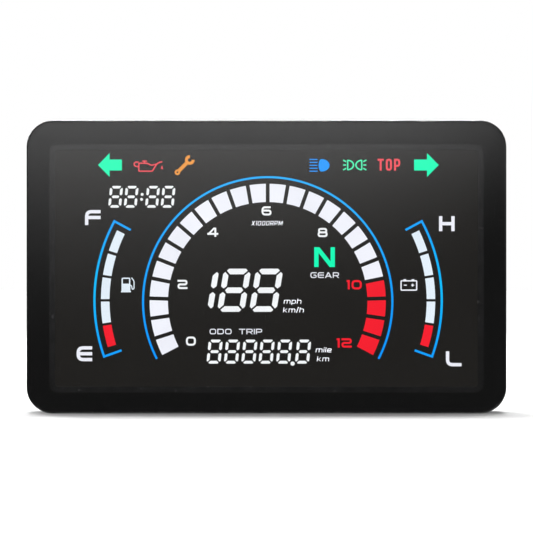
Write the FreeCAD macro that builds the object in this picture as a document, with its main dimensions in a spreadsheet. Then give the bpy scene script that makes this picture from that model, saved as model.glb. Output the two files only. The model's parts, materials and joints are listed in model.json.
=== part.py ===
import FreeCAD, Part
import math
import os
import re

import Sketcher

# Instrument cluster for a motorcycle. Millimetres, +Z up, +X to the rider's right.
# The rider looks along +Y. The origin is the centre of the four rear studs, on the plane where the
# isolator pads meet the bracket. Depths count from the front of the lens towards that plane.

V = FreeCAD.Vector

document = FreeCAD.newDocument("instrument_cluster")
sizes = document.addObject("Spreadsheet::Sheet", "Sizes")

DRIVING_SIZES = {
    # the face
    "face_width": 160.0, "face_height": 97.7, "face_radius": 8.7,
    "window_width": 145.0, "window_height": 82.9, "window_lift": -0.45, "window_radius": 3.0,
    # layers behind the face, front to back
    "lens_thick": 2.5, "lens_edge": 0.6, "mask_thick": 0.1, "mask_inset": 0.4,
    "tape_thick": 0.3, "tape_inset": 0.8, "tape_margin": 1.2,
    "wall": 2.2, "ledge_thick": 1.4, "ledge_margin": 1.0,
    "gasket_thick": 2.5, "gasket_reveal": 1.9, "gasket_lap": 0.2,
    "lcd_width": 145.0, "lcd_top": 40.9, "lcd_front_bottom": -40.5, "lcd_rear_bottom": -41.75,
    "glass_thick": 1.1, "polariser_thick": 0.2, "polariser_inset": 0.5,
    "film_thick": 0.15, "diffuser_thick": 0.5,
    # light box and board
    "box_width": 143.5, "box_height": 82.0, "box_depth": 7.0, "box_wall": 1.5, "box_back": 1.2,
    "box_rib": 1.2, "side_rib_place": 47.0, "top_rib_lift": 28.8, "lamp_hole": 2.6,
    "pillar_across": 66.0, "pillar_lift": 36.0, "pillar_radius": 2.5, "pillar_shy": 1.2,
    "board_width": 143.0, "board_height": 81.6, "board_thick": 1.6,
    # the two shells
    "parting": 13.0, "back_plate": 23.0, "plateau_back": 26.5, "boss_back": 28.0, "seat": 31.0,
    "plateau_width": 130.0, "plateau_height": 68.0, "plateau_radius": 12.0,
    "back_edge": 2.0, "plateau_edge": 1.2, "post_across": 66.0, "post_lift": 12.0,
    "post_girth": 2.0,
    "corner_screw_across": 75.3, "corner_screw_lift": 44.2,
    "middle_screw_across": 25.0, "middle_screw_lift": 44.8,
    "bezel_boss_radius": 2.6, "case_boss_radius": 3.2,
    "screw_radius": 1.1, "screw_head_radius": 1.9, "screw_head_thick": 1.4, "screw_length": 9.0,
    "screw_seat": 15.5, "screw_well_radius": 2.1,
    "seal_width": 1.0, "seal_depth": 0.8,
    # fixing studs
    "stud_across": 55.0, "stud_lift": 25.0, "stud_radius": 3.0, "stud_free": 12.0,
    "stud_head_radius": 5.0, "stud_head_thick": 2.4, "stud_head_depth": 22.6,
    "head_cover": 0.6,
    "stud_boss_radius": 8.0, "stud_tip": 0.6, "shoulder_radius": 3.3, "pad_radius": 7.6,
    "pad_hole_radius": 3.6,
    # push buttons
    "button_across": 12.0, "button_lift": 22.0, "button_radius": 4.5, "button_bore": 4.7,
    "collar_radius": 6.25, "bore_lead": 0.5, "collar_front": 22.5, "collar_back": 27.3, "button_front": 21.4,
    "button_back": 30.0, "button_crown": 1.5, "button_inner": 3.2, "flange_radius": 5.5,
    "flange_thick": 1.0, "post_radius": 1.3, "post_front": 21.2, "button_edge": 0.5,
    "ring_depth": 24.5, "ring_radius": 4.25, "ring_section": 0.4,
    "switch_side": 6.2, "switch_back": 20.0, "switch_bore": 1.7,
    "plunger_radius": 1.5, "plunger_front": 18.3, "spring_radius": 2.5, "spring_wire": 0.25,
    # harness socket
    "socket_lift": -14.0, "socket_width": 36.0, "socket_height": 14.0, "socket_back": 30.5,
    "socket_floor": 18.5, "socket_wall": 1.5, "socket_radius": 2.0, "pin_tip": 25.0,
    "pin_side": 0.64, "pin_hole": 0.48, "pin_pitch": 2.54, "socket_seal_gap": 1.3, "socket_rim": 2.0,
    "rim_rise": 1.0,
    # vent
    "vent_across": 36.0, "vent_lift": -18.0, "vent_hole": 2.0, "membrane_radius": 4.0,
    "membrane_thick": 0.2, "vent_cap_radius": 6.0, "vent_cap_back": 28.1,
}


def fill_sheet():
    """One row for each driving size: its name beside its value."""
    for row, (name, value) in enumerate(DRIVING_SIZES.items(), start=1):
        sizes.set(f"A{row}", name)
        sizes.set(f"B{row}", str(value))
        sizes.setAlias(f"B{row}", name)
    document.recompute()


fill_sheet()


def formula(words):
    """The same formula with every size's name pointing at the sheet."""
    return re.sub(r"\b([a-z]\w+)\b", r"Sizes.\1", words)


def number(words):
    """The value of a formula of sizes."""
    return float(sizes.evalExpression(formula(words)))


def bind(item, path, words):
    item.setExpression(path, formula(words))


# Depths that follow from the layers
BEZEL_FRONT = "lens_thick + mask_thick + tape_thick"
GASKET_FRONT = "lens_thick + mask_thick"
FRONT_POLARISER = f"{GASKET_FRONT} + gasket_thick"
FRONT_GLASS = f"{FRONT_POLARISER} + polariser_thick"
REAR_GLASS = f"{FRONT_GLASS} + glass_thick"
REAR_POLARISER = f"{REAR_GLASS} + glass_thick"
COLOUR_FILM = f"{REAR_POLARISER} + polariser_thick"
DIFFUSER = f"{COLOUR_FILM} + film_thick"
BOX_FRONT = f"{DIFFUSER} + diffuser_thick"
BOARD_FRONT = f"{BOX_FRONT} + box_depth"
BOARD_BACK = f"{BOARD_FRONT} + board_thick"

subparts = []


def new_body(label, front):
    """An empty body whose own front plane lies at the given depth behind the lens face."""
    body = document.addObject("PartDesign::Body", label)
    body.Label = label
    bind(body, "Placement.Base.y", f"({front}) - seat")
    subparts.append(body)
    return body


def new_sketch(body, name, depth="0"):
    """A sketch on the body's front plane, or at a depth behind it: sketch x is X, sketch y is Z."""
    plane = [item for item in body.Origin.OriginFeatures if item.Role == "XZ_Plane"][0]
    sketch = body.newObject("Sketcher::SketchObject", f"{body.Label}_{name}")
    sketch.AttachmentSupport = [(plane, "")]
    sketch.MapMode = "FlatFace"
    if depth != "0":
        bind(sketch, "AttachmentOffset.Base.z", f"-({depth})")
    return sketch


def constrain(sketch, rules, dimensions):
    """Add plain rules and dimensions in one go, and tie each dimension to its formula."""
    plain = [Sketcher.Constraint(*rule) for rule in rules]
    sized = [Sketcher.Constraint(kind, *references, number(words))
             for kind, references, words in dimensions]
    start = sketch.ConstraintCount + len(plain)
    sketch.addConstraint(plain + sized)
    for index, (kind, references, words) in enumerate(dimensions, start=start):
        sketch.renameConstraint(index, f"size_{index}")
        bind(sketch, f"Constraints.size_{index}", words)


def draw_rectangle(sketch, width, height, radius, across="0", lift="0"):
    """A rectangle with round corners: four lines, and four arcs that are tangent to them."""
    half_width = number(width) / 2
    half_height = number(height) / 2
    round_off = number(radius)
    x, z = number(across), number(lift)
    left, right = x - half_width, x + half_width
    low, high = z - half_height, z + half_height
    centres = [
        V(right - round_off, high - round_off, 0),
        V(left + round_off, high - round_off, 0),
        V(left + round_off, low + round_off, 0),
        V(right - round_off, low + round_off, 0),
    ]
    ends = [
        (V(right, low + round_off, 0), V(right, high - round_off, 0)),
        (V(right - round_off, high, 0), V(left + round_off, high, 0)),
        (V(left, high - round_off, 0), V(left, low + round_off, 0)),
        (V(left + round_off, low, 0), V(right - round_off, low, 0)),
    ]
    outline = []
    for side, (start, end) in enumerate(ends):
        circle = Part.Circle(centres[side], V(0, 0, 1), round_off)
        outline.append(Part.LineSegment(start, end))
        outline.append(Part.ArcOfCircle(circle, side * math.pi / 2, (side + 1) * math.pi / 2))
    first = sketch.GeometryCount
    sketch.addGeometry(outline, False)
    rules = [("Vertical", first), ("Horizontal", first + 2)]
    for side in range(4):
        line = first + 2 * side
        following = first + (2 * side + 2) % 8
        rules.append(("Tangent", line, 2, line + 1, 1))
        rules.append(("Tangent", line + 1, 2, following, 1))
        if side:
            rules.append(("Equal", first + 1, line + 1))
    constrain(sketch, rules, [
        ("Radius", (first + 1,), radius),
        ("DistanceX", (first + 4, 1, first, 1), width),
        ("DistanceY", (first + 6, 1, first + 2, 1), height),
        ("DistanceX", (-1, 1, first, 1), f"({width}) / 2 + ({across})"),
        ("DistanceY", (-1, 1, first + 2, 1), f"({height}) / 2 + ({lift})"),
    ])


def draw_circles(sketch, radius, places):
    """A circle of one radius at each place, given across and in height."""
    first = sketch.GeometryCount
    circles = [Part.Circle(V(number(across), number(lift), 0), V(0, 0, 1), number(radius))
               for across, lift in places]
    sketch.addGeometry(circles, False)
    dimensions = []
    for index, (across, lift) in enumerate(places, start=first):
        dimensions.append(("Radius", (index,), radius))
        dimensions.append(("DistanceX", (-1, 1, index, 3), across))
        dimensions.append(("DistanceY", (-1, 1, index, 3), lift))
    constrain(sketch, [], dimensions)


def pad(body, sketch, length):
    """Material from the sketch backwards."""
    feature = body.newObject("PartDesign::Pad", f"{sketch.Label}_pad")
    feature.Profile = sketch
    feature.Reversed = True
    bind(feature, "Length", length)
    document.recompute()
    return feature


def pocket(body, sketch, length):
    """A hollow from the sketch backwards, which has to take material away."""
    before = body.Shape.Volume
    feature = body.newObject("PartDesign::Pocket", f"{sketch.Label}_pocket")
    feature.Profile = sketch
    feature.Reversed = False
    bind(feature, "Length", length)
    document.recompute()
    if body.Shape.Volume > before - 1e-3:
        raise RuntimeError(f"{feature.Label} cuts nothing")
    return feature


def edges_at(shape, depth, chosen):
    """Names of the edges that lie flat at one depth of the body and that the test picks."""
    names = []
    for index, edge in enumerate(shape.Edges, start=1):
        box = edge.BoundBox
        flat = abs(box.YMin - depth) < 1e-4 and abs(box.YMax - depth) < 1e-4
        if flat and chosen(edge):
            names.append(f"Edge{index}")
    return names


def round_edges(body, names, radius):
    base = body.Tip
    feature = body.newObject("PartDesign::Fillet", f"{body.Label}_round_{len(body.Group)}")
    feature.Base = (base, names)
    bind(feature, "Radius", radius)
    document.recompute()
    if not feature.isValid():
        raise RuntimeError(f"{feature.Label} failed on {names}")
    return feature


def sheet_part(label, front, thick, outer, inner=None):
    """A flat layer, with a window where it has one. Outlines are width, height, radius and lift."""
    body = new_body(label, front)
    sketch = new_sketch(body, "outline")
    for width, height, radius, lift in filter(None, (outer, inner)):
        draw_rectangle(sketch, width, height, radius, "0", lift)
    pad(body, sketch, thick)
    return body


def cylinder(label, radius, front, length, across, lift):
    """A round bar along Y that starts at a depth behind the lens face."""
    item = document.addObject("Part::Cylinder", label)
    item.Placement = FreeCAD.Placement(V(0, 0, 0), FreeCAD.Rotation(V(1, 0, 0), -90))
    bind(item, "Radius", radius)
    bind(item, "Height", length)
    bind(item, "Placement.Base.x", across)
    bind(item, "Placement.Base.y", f"({front}) - seat")
    bind(item, "Placement.Base.z", lift)
    return item


def block(label, width, height, front, length, across, lift):
    """A block that starts at a depth behind the lens face, centred across and in height."""
    item = document.addObject("Part::Box", label)
    bind(item, "Length", width)
    bind(item, "Width", length)
    bind(item, "Height", height)
    bind(item, "Placement.Base.x", f"({across}) - ({width}) / 2")
    bind(item, "Placement.Base.y", f"({front}) - seat")
    bind(item, "Placement.Base.z", f"({lift}) - ({height}) / 2")
    return item


def join(label, *items):
    item = document.addObject("Part::MultiFuse", label)
    item.Shapes = list(items)
    return item


def cut(label, base, tool):
    item = document.addObject("Part::Cut", label)
    item.Base = base
    item.Tool = tool
    return item


def group(label, items):
    """Separate solids of one kind that share a node."""
    item = document.addObject("Part::Compound", label)
    item.Links = list(items)
    return keep(item, label)


def keep(item, label):
    item.Label = label
    subparts.append(item)
    return item


def four_places(across, lift):
    return [(f"{x} * {across}", f"{z} * {lift}") for x in (1, -1) for z in (1, -1)]


SCREW_PLACES = (
    four_places("corner_screw_across", "corner_screw_lift")
    + four_places("middle_screw_across", "middle_screw_lift")
)
STUD_PLACES = four_places("stud_across", "stud_lift")
PILLAR_PLACES = four_places("pillar_across", "pillar_lift")
BUTTONS = (("mode", "-button_across"), ("set", "button_across"))
BUTTON_PLACES = [(across, "button_lift") for name, across in BUTTONS]
VENT_PLACE = [("vent_across", "vent_lift")]
FACE = ("face_width", "face_height", "face_radius", "0")
WINDOW = ("window_width", "window_height", "window_radius", "window_lift")


def shrunk(outline, by):
    """The same outline, drawn in all round by a distance, or out where the distance is negative."""
    width, height, radius, lift = outline
    return (f"{width} - 2 * ({by})", f"{height} - 2 * ({by})", f"{radius} - ({by})", lift)


def cover_lens():
    body = sheet_part("cover_lens", "0", "lens_thick", FACE)
    round_edges(body, edges_at(body.Tip.Shape, 0, lambda edge: True), "lens_edge")


def lens_backing():
    """The black print behind the lens border, and the tape that bonds the lens to the bezel."""
    sheet_part("lens_mask", "lens_thick", "mask_thick", shrunk(FACE, "mask_inset"), WINDOW)
    tape_window = shrunk(WINDOW, "-tape_margin")
    tape_outline = shrunk(FACE, "tape_inset")
    sheet_part("lens_tape", "lens_thick + mask_thick", "tape_thick", tape_outline, tape_window)


def front_bezel():
    """A wall with a front ledge that carries the lens, and eight bosses for the case screws."""
    body = new_body("front_bezel", BEZEL_FRONT)
    wall_depth = f"parting - ({BEZEL_FRONT})"
    outline = new_sketch(body, "outline")
    draw_rectangle(outline, *FACE[:3])
    pad(body, outline, wall_depth)
    hollow = new_sketch(body, "hollow", "ledge_thick")
    draw_rectangle(hollow, *shrunk(FACE, "wall")[:3])
    pocket(body, hollow, f"{wall_depth} - ledge_thick")
    opening = new_sketch(body, "opening")
    width, height, radius, lift = shrunk(WINDOW, "-ledge_margin")
    draw_rectangle(opening, width, height, radius, "0", lift)
    pocket(body, opening, "ledge_thick")
    bosses = new_sketch(body, "bosses", "ledge_thick")
    draw_circles(bosses, "bezel_boss_radius", SCREW_PLACES)
    pad(body, bosses, f"{wall_depth} - ledge_thick")
    tip_depth = f"screw_seat - screw_length - ({BEZEL_FRONT})"
    holes = new_sketch(body, "screw_holes", tip_depth)
    draw_circles(holes, "screw_radius", SCREW_PLACES)
    pocket(body, holes, f"{wall_depth} - ({tip_depth})")


def dust_gasket():
    """A foam frame that keeps dust and stray light out between the lens and the display."""
    outer = shrunk(WINDOW, "-gasket_lap")
    sheet_part("dust_gasket", GASKET_FRONT, "gasket_thick", outer, shrunk(WINDOW, "gasket_reveal"))


def display_stack():
    """The display's two glass plates, its polarisers, and the film and diffuser behind them."""
    front = ("lcd_width", "lcd_top - lcd_front_bottom", "polariser_inset",
             "(lcd_top + lcd_front_bottom) / 2")
    rear = ("lcd_width", "lcd_top - lcd_rear_bottom", "polariser_inset",
            "(lcd_top + lcd_rear_bottom) / 2")
    inset = (f"{front[0]} - 2 * polariser_inset", f"{front[1]} - 2 * polariser_inset",
             "polariser_inset", front[3])
    sheet_part("lcd_front_polariser", FRONT_POLARISER, "polariser_thick", inset)
    sheet_part("lcd_front_glass", FRONT_GLASS, "glass_thick", front)
    sheet_part("lcd_rear_glass", REAR_GLASS, "glass_thick", rear)
    sheet_part("lcd_rear_polariser", REAR_POLARISER, "polariser_thick", inset)
    sheet_part("colour_film", COLOUR_FILM, "film_thick", inset)
    sheet_part("diffuser_sheet", DIFFUSER, "diffuser_thick", inset)


def lcd_contact_pins():
    """Clips on the lower ledge of the rear glass that run back to the board's rear face."""
    pin_count, pitch, wide, thick = 40, 1.0, 0.5, 0.3
    clip_length, foot_length = 1.0, 1.3
    seat = number("seat")
    top_face = number(REAR_GLASS) - seat
    board_back = number(BOARD_BACK) - seat
    edge = number("lcd_rear_bottom")
    foot_z = number("window_lift - board_height / 2")
    pins = []
    for index in range(pin_count):
        x = (index - (pin_count - 1) / 2) * pitch - wide / 2
        clip = Part.makeBox(wide, thick, clip_length + thick, V(x, top_face - thick, edge - thick))
        run = board_back + thick - top_face
        stem = Part.makeBox(wide, run, thick, V(x, top_face, edge - thick))
        foot_height = foot_z - edge + thick + foot_length
        foot = Part.makeBox(wide, thick, foot_height, V(x, board_back, edge - thick))
        pins.append(clip.fuse([stem, foot]).removeSplitter())
    item = document.addObject("Part::Feature", "lcd_contact_pins")
    item.Shape = Part.makeCompound(pins)
    keep(item, "lcd_contact_pins")


LED_PLACES = [(24.0 * column, 31.0 * row) for column in (-2.5, -1.5, -0.5, 0.5, 1.5, 2.5)
              for row in (-1, 0, 1)]


def light_box():
    """A white tray of six chambers that opens forward, with a window for each lamp in its back."""
    body = new_body("light_box", BOX_FRONT)
    outline = new_sketch(body, "outline")
    draw_rectangle(outline, "box_width", "box_height", "box_wall", "0", "window_lift")
    pad(body, outline, "box_depth")
    chambers = new_sketch(body, "chambers")
    top = "box_height / 2 + window_lift - box_wall"
    bottom = "-box_height / 2 + window_lift + box_wall"
    side = "box_width / 2 - box_wall"
    rows = (("top_rib_lift + box_rib / 2", top), (bottom, "top_rib_lift - box_rib / 2"))
    columns = (
        (f"-({side})", "-side_rib_place - box_rib / 2"),
        ("-side_rib_place + box_rib / 2", "side_rib_place - box_rib / 2"),
        ("side_rib_place + box_rib / 2", side),
    )
    for low, high in rows:
        for left, right in columns:
            width = f"({right}) - ({left})"
            height = f"({high}) - ({low})"
            across = f"(({right}) + ({left})) / 2"
            lift = f"(({high}) + ({low})) / 2"
            draw_rectangle(chambers, width, height, "0.5", across, lift)
    pocket(body, chambers, "box_depth - box_back")
    pillars = new_sketch(body, "pillars", "pillar_shy")
    draw_circles(pillars, "pillar_radius", PILLAR_PLACES)
    pad(body, pillars, "box_depth - pillar_shy")
    holes = new_sketch(body, "screw_holes", "pillar_shy")
    draw_circles(holes, "screw_radius", PILLAR_PLACES)
    pocket(body, holes, "box_depth - pillar_shy")
    lamps = new_sketch(body, "lamp_windows")
    draw_circles(lamps, "lamp_hole", [(f"{across}", f"{lift}") for across, lift in LED_PLACES])
    pocket(body, lamps, "box_depth")


def backlight_leds():
    lamps = []
    for index, (across, lift) in enumerate(LED_PLACES):
        front = f"{BOARD_FRONT} - 0.8"
        lamps.append(block(f"lamp_{index}", "3.5", "2.8", front, "0.8", f"{across}", f"{lift}"))
    group("backlight_leds", lamps)


def main_board():
    body = new_body("main_board", BOARD_FRONT)
    outline = new_sketch(body, "outline")
    draw_rectangle(outline, "board_width", "board_height", "0.8", "0", "window_lift")
    draw_circles(outline, "screw_radius", PILLAR_PLACES)
    pad(body, outline, "board_thick")


def pan_screw(label, seat_depth, length, across, lift):
    """A screw whose head sits behind its seat and whose shank runs forward from it."""
    recess_deep, arm_wide, arm_long, cut_long = 0.8, "0.5", "2.4", "1.0"
    tip = f"({seat_depth}) - ({length})"
    shank = cylinder(f"{label}_shank", "screw_radius", tip, length, across, lift)
    head = cylinder(f"{label}_head", "screw_head_radius", seat_depth, "screw_head_thick",
                    across, lift)
    recess_depth = f"({seat_depth}) + screw_head_thick - {recess_deep}"
    bar = block(f"{label}_slot", arm_wide, arm_long, recess_depth, cut_long, across, lift)
    cross = block(f"{label}_cross", arm_long, arm_wide, recess_depth, cut_long, across, lift)
    whole = join(f"{label}_whole", shank, head)
    return cut(f"{label}_screw", whole, join(f"{label}_recess", bar, cross))


def screws():
    case = [pan_screw(f"case_{index}", "screw_seat", "screw_length", across, lift)
            for index, (across, lift) in enumerate(SCREW_PLACES)]
    group("case_screws", case)
    board = [pan_screw(f"board_{index}", BOARD_BACK, "6.0", across, lift)
             for index, (across, lift) in enumerate(PILLAR_PLACES)]
    group("board_screws", board)


def chip(label, width, height, thick, across, lift, gap="0"):
    """A packaged component on the rear face of the board."""
    front = f"{BOARD_BACK} + {gap}"
    return block(label, f"{width}", f"{height}", front, f"{thick}", f"{across}", f"{lift}")


def gull_leads(label, places, half_width, half_height, counts, pitch):
    """Bent leads on the sides of flat packages, as one compound of separate leads."""
    seat = number("seat")
    board = number(BOARD_BACK) - seat
    wide, thick, shoulder, foot, rise = 0.3, 0.15, 0.4, 0.6, 0.8
    profile = [V(0, rise, 0), V(shoulder, rise, 0), V(shoulder + thick, 0, 0),
               V(shoulder + foot, 0, 0), V(shoulder + foot, thick, 0),
               V(shoulder + 2 * thick, thick, 0), V(shoulder + thick, rise + thick, 0),
               V(0, rise + thick, 0)]
    face = Part.Face(Part.makePolygon(profile + profile[:1]))
    lead = face.extrude(V(0, 0, wide))
    lead.translate(V(0, 0, -wide / 2))
    leads = []
    for across, lift in places:
        for side, count in enumerate(counts):
            reach = half_width if side % 2 == 0 else half_height
            for index in range(count):
                piece = lead.copy()
                piece.translate(V(reach, 0, (index - (count - 1) / 2) * pitch))
                piece.rotate(V(0, 0, 0), V(0, 1, 0), 90 * side)
                piece.translate(V(across, board, lift))
                leads.append(piece)
    item = document.addObject("Part::Feature", label)
    item.Shape = Part.makeCompound(leads)
    keep(item, label)


# Packages on the board: width, height, thickness, and the place of the centre
MICROCONTROLLER = (14.0, 14.0, 1.4, -38.0, 4.0)
SINGLE_CHIPS = {
    "memory_chip": (5.0, 4.0, 1.5, -38.0, -12.0),
    "voltage_regulator": (6.6, 6.1, 2.3, 30.0, -4.0),
    "power_inductor": (7.3, 7.3, 4.2, 46.0, -3.0),
    "timing_crystal": (4.7, 11.2, 3.5, -53.0, 4.0),
}
DRIVER_SIZE = (12.0, 6.0, 2.0)
DRIVER_PLACES = [(-14.0, -31.0), (10.0, -31.0)]
DIODE_SIZE = (3.6, 4.6, 2.3)
DIODE_PLACES = [(28.0, -31.0), (34.0, -31.0), (40.0, -31.0)]
CAN_PLACES = [(30.0, 8.0), (40.5, 8.0), (51.0, 8.0)]
PASSIVE_SIZE = (1.6, 0.8, 0.5)
PASSIVE_START = (-58.0, -19.0)
PASSIVE_STEP = (4.0, -3.0)


def electronics():
    """The components on the rear face of the board."""
    lifted = "0.1"
    keep(chip("microcontroller", *MICROCONTROLLER, lifted), "microcontroller")
    lead_counts, lead_pitch = (12, 12, 12, 12), 1.0
    half = MICROCONTROLLER[0] / 2
    gull_leads("microcontroller_leads", [MICROCONTROLLER[3:]], half, half, lead_counts, lead_pitch)
    group("display_drivers", [chip(f"driver_{index}", *DRIVER_SIZE, *place, lifted)
                              for index, place in enumerate(DRIVER_PLACES)])
    lead_counts, lead_pitch = (0, 10, 0, 10), 1.1
    gull_leads("driver_leads", DRIVER_PLACES, DRIVER_SIZE[0] / 2, DRIVER_SIZE[1] / 2,
               lead_counts, lead_pitch)
    for label, package in SINGLE_CHIPS.items():
        keep(chip(label, *package), label)
    group("protection_diodes", [chip(f"diode_{index}", *DIODE_SIZE, *place)
                                for index, place in enumerate(DIODE_PLACES)])
    base_side, base_thick, can_radius, can_tall = 8.3, 0.6, "4.0", "5.6"
    cans = []
    for index, (across, lift) in enumerate(CAN_PLACES):
        base = chip(f"can_base_{index}", base_side, base_side, base_thick, across, lift)
        can = cylinder(f"can_{index}", can_radius, f"{BOARD_BACK} + {base_thick}", can_tall,
                       f"{across}", f"{lift}")
        cans.append(join(f"can_whole_{index}", base, can))
    group("filter_capacitors", cans)
    rows, columns = 3, 8
    passives = []
    for row in range(rows):
        for column in range(columns):
            place = (PASSIVE_START[0] + PASSIVE_STEP[0] * column,
                     PASSIVE_START[1] + PASSIVE_STEP[1] * row)
            passives.append(chip(f"passive_{row}_{column}", *PASSIVE_SIZE, *place))
    group("chip_passives", passives)


def button_set(name, across):
    """A spring-loaded push button and the switch that it presses."""
    lift = "button_lift"
    travel_room = "collar_front - button_front - flange_thick"
    print(f"{name} button: {number(travel_room):.2f} mm of play behind its flange")
    cap_length = "button_back - button_front"
    barrel = cylinder(f"{name}_barrel", "button_radius", "button_front", cap_length, across, lift)
    flange = cylinder(f"{name}_flange", "flange_radius", "button_front", "flange_thick",
                      across, lift)
    hollow = cylinder(f"{name}_hollow", "button_inner", "button_front",
                      f"{cap_length} - button_crown", across, lift)
    groove_front = "ring_depth - ring_section - 0.1"
    groove_outer = cylinder(f"{name}_groove_outer", "button_bore", groove_front,
                            "2 * ring_section + 0.2", across, lift)
    groove_inner = cylinder(f"{name}_groove_inner", "ring_radius - ring_section", groove_front,
                            "2 * ring_section + 0.2", across, lift)
    groove = cut(f"{name}_groove", groove_outer, groove_inner)
    post = cylinder(f"{name}_post", "post_radius", "post_front",
                    "button_back - button_crown - post_front", across, lift)
    shell = cut(f"{name}_shell", join(f"{name}_outer", barrel, flange), hollow)
    grooved = cut(f"{name}_grooved", shell, groove)
    whole = join(f"{name}_with_post", grooved, post)
    document.recompute()
    crown = number("button_back - seat")
    rim = edges_at(whole.Shape, crown, lambda edge: True)
    cap = document.addObject("Part::Fillet", f"{name}_button_cap")
    cap.Base = whole
    edge_radius = number("button_edge")
    cap.Edges = [(int(edge[4:]), edge_radius, edge_radius) for edge in rim]
    keep(cap, f"{name}_button_cap")
    ring = document.addObject("Part::Torus", f"{name}_button_ring")
    ring.Placement = FreeCAD.Placement(V(0, 0, 0), FreeCAD.Rotation(V(1, 0, 0), -90))
    bind(ring, "Radius1", "ring_radius")
    bind(ring, "Radius2", "ring_section")
    bind(ring, "Placement.Base.x", across)
    bind(ring, "Placement.Base.y", "ring_depth - seat")
    bind(ring, "Placement.Base.z", lift)
    keep(ring, f"{name}_button_ring")
    plunger = cylinder(f"{name}_switch_plunger", "plunger_radius", "plunger_front",
                       "post_front - plunger_front", across, lift)
    keep(plunger, f"{name}_switch_plunger")
    body_block = block(f"{name}_switch_block", "switch_side", "switch_side", BOARD_BACK,
                       f"switch_back - ({BOARD_BACK})", across, lift)
    bore = cylinder(f"{name}_switch_bore", "switch_bore", BOARD_BACK,
                    f"switch_back - ({BOARD_BACK})", across, lift)
    keep(cut(f"{name}_switch", body_block, bore), f"{name}_switch")
    return_spring(name, number(across), number(lift))


def return_spring(name, x, z):
    """A coil between the switch and the inside of the cap.

    The wire is a six-sided bar bent along a helix in short straight runs. Each ring of corners is the
    one before, carried along the run to the plane that halves the angle with the next run.
    """
    wire = number("spring_wire")
    radius = number("spring_radius")
    start = number("switch_back - seat") + 1.5 * wire
    rise = number("button_back - button_crown - seat") - 1.5 * wire - start
    turns, runs_per_turn, sides = 5, 12, 6
    runs = turns * runs_per_turn

    def station(step):
        turn = 2 * math.pi * step / runs_per_turn
        return V(x + radius * math.cos(turn), start + rise * step / runs, z + radius * math.sin(turn))

    points = [station(step) for step in range(runs + 1)]
    headings = [(points[step + 1] - points[step]).normalize() for step in range(runs)]
    outward = V(1, 0, 0)
    upward = headings[0].cross(outward).normalize()
    outward = upward.cross(headings[0])
    ring = []
    for side in range(sides):
        turn = 2 * math.pi * side / sides
        ring.append(points[0] + outward * (wire * math.cos(turn)) + upward * (wire * math.sin(turn)))
    faces = [Part.Face(Part.makePolygon(ring + ring[:1]))]
    for step, heading in enumerate(headings):
        following = headings[min(step + 1, runs - 1)]
        normal = (heading + following).normalize()
        end = points[step + 1]
        carried = [corner + heading * ((end - corner).dot(normal) / heading.dot(normal))
                   for corner in ring]
        for side in range(sides):
            after = (side + 1) % sides
            quad = [ring[side], ring[after], carried[after], carried[side], ring[side]]
            faces.append(Part.Face(Part.makePolygon(quad)))
        ring = carried
    faces.append(Part.Face(Part.makePolygon(ring + ring[:1])))
    item = document.addObject("Part::Feature", f"{name}_button_spring")
    item.Shape = Part.Solid(Part.Shell(faces))
    if item.Shape.Volume < 0:
        item.Shape = item.Shape.reversed()
    keep(item, f"{name}_button_spring")


def harness_socket():
    """A shrouded header: an open box that faces backwards, with two rows of pins in it."""
    body = new_body("harness_socket", BOARD_BACK)
    depth = f"socket_back - ({BOARD_BACK})"
    outline = new_sketch(body, "outline")
    draw_rectangle(outline, "socket_width", "socket_height", "socket_radius", "0", "socket_lift")
    pad(body, outline, depth)
    floor = f"socket_floor - ({BOARD_BACK})"
    hollow = new_sketch(body, "hollow", floor)
    width = "socket_width - 2 * socket_wall"
    height = "socket_height - 2 * socket_wall"
    draw_rectangle(hollow, width, height, "socket_radius - socket_wall / 2", "0", "socket_lift")
    pocket(body, hollow, f"{depth} - ({floor})")
    key_wide, key_deep, key_corner = "4.0", "5.0", "0.3"
    key = new_sketch(body, "key_slot", f"{depth} - {key_deep}")
    draw_rectangle(key, key_wide, "socket_wall * 2", key_corner, "0", "socket_lift + socket_height / 2")
    pocket(body, key, key_deep)
    pin_holes = new_sketch(body, "pin_holes")
    columns = 10
    places = [(f"{column - (columns - 1) / 2} * pin_pitch", f"socket_lift + {row} * pin_pitch")
              for column in range(columns) for row in (-0.5, 0.5)]
    draw_circles(pin_holes, "pin_hole", places)
    pocket(body, pin_holes, floor)
    pins = [block(f"pin_{index}", "pin_side", "pin_side", BOARD_BACK,
                  f"pin_tip - ({BOARD_BACK})", across, lift)
            for index, (across, lift) in enumerate(places)]
    group("socket_pins", pins)


def socket_seal():
    outer = ("socket_width + 2 * socket_seal_gap", "socket_height + 2 * socket_seal_gap",
             "socket_radius + socket_seal_gap", "socket_lift")
    inner = ("socket_width", "socket_height", "socket_radius", "socket_lift")
    sheet_part("socket_seal", "plateau_back - wall", "wall + rim_rise", outer, inner)


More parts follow.
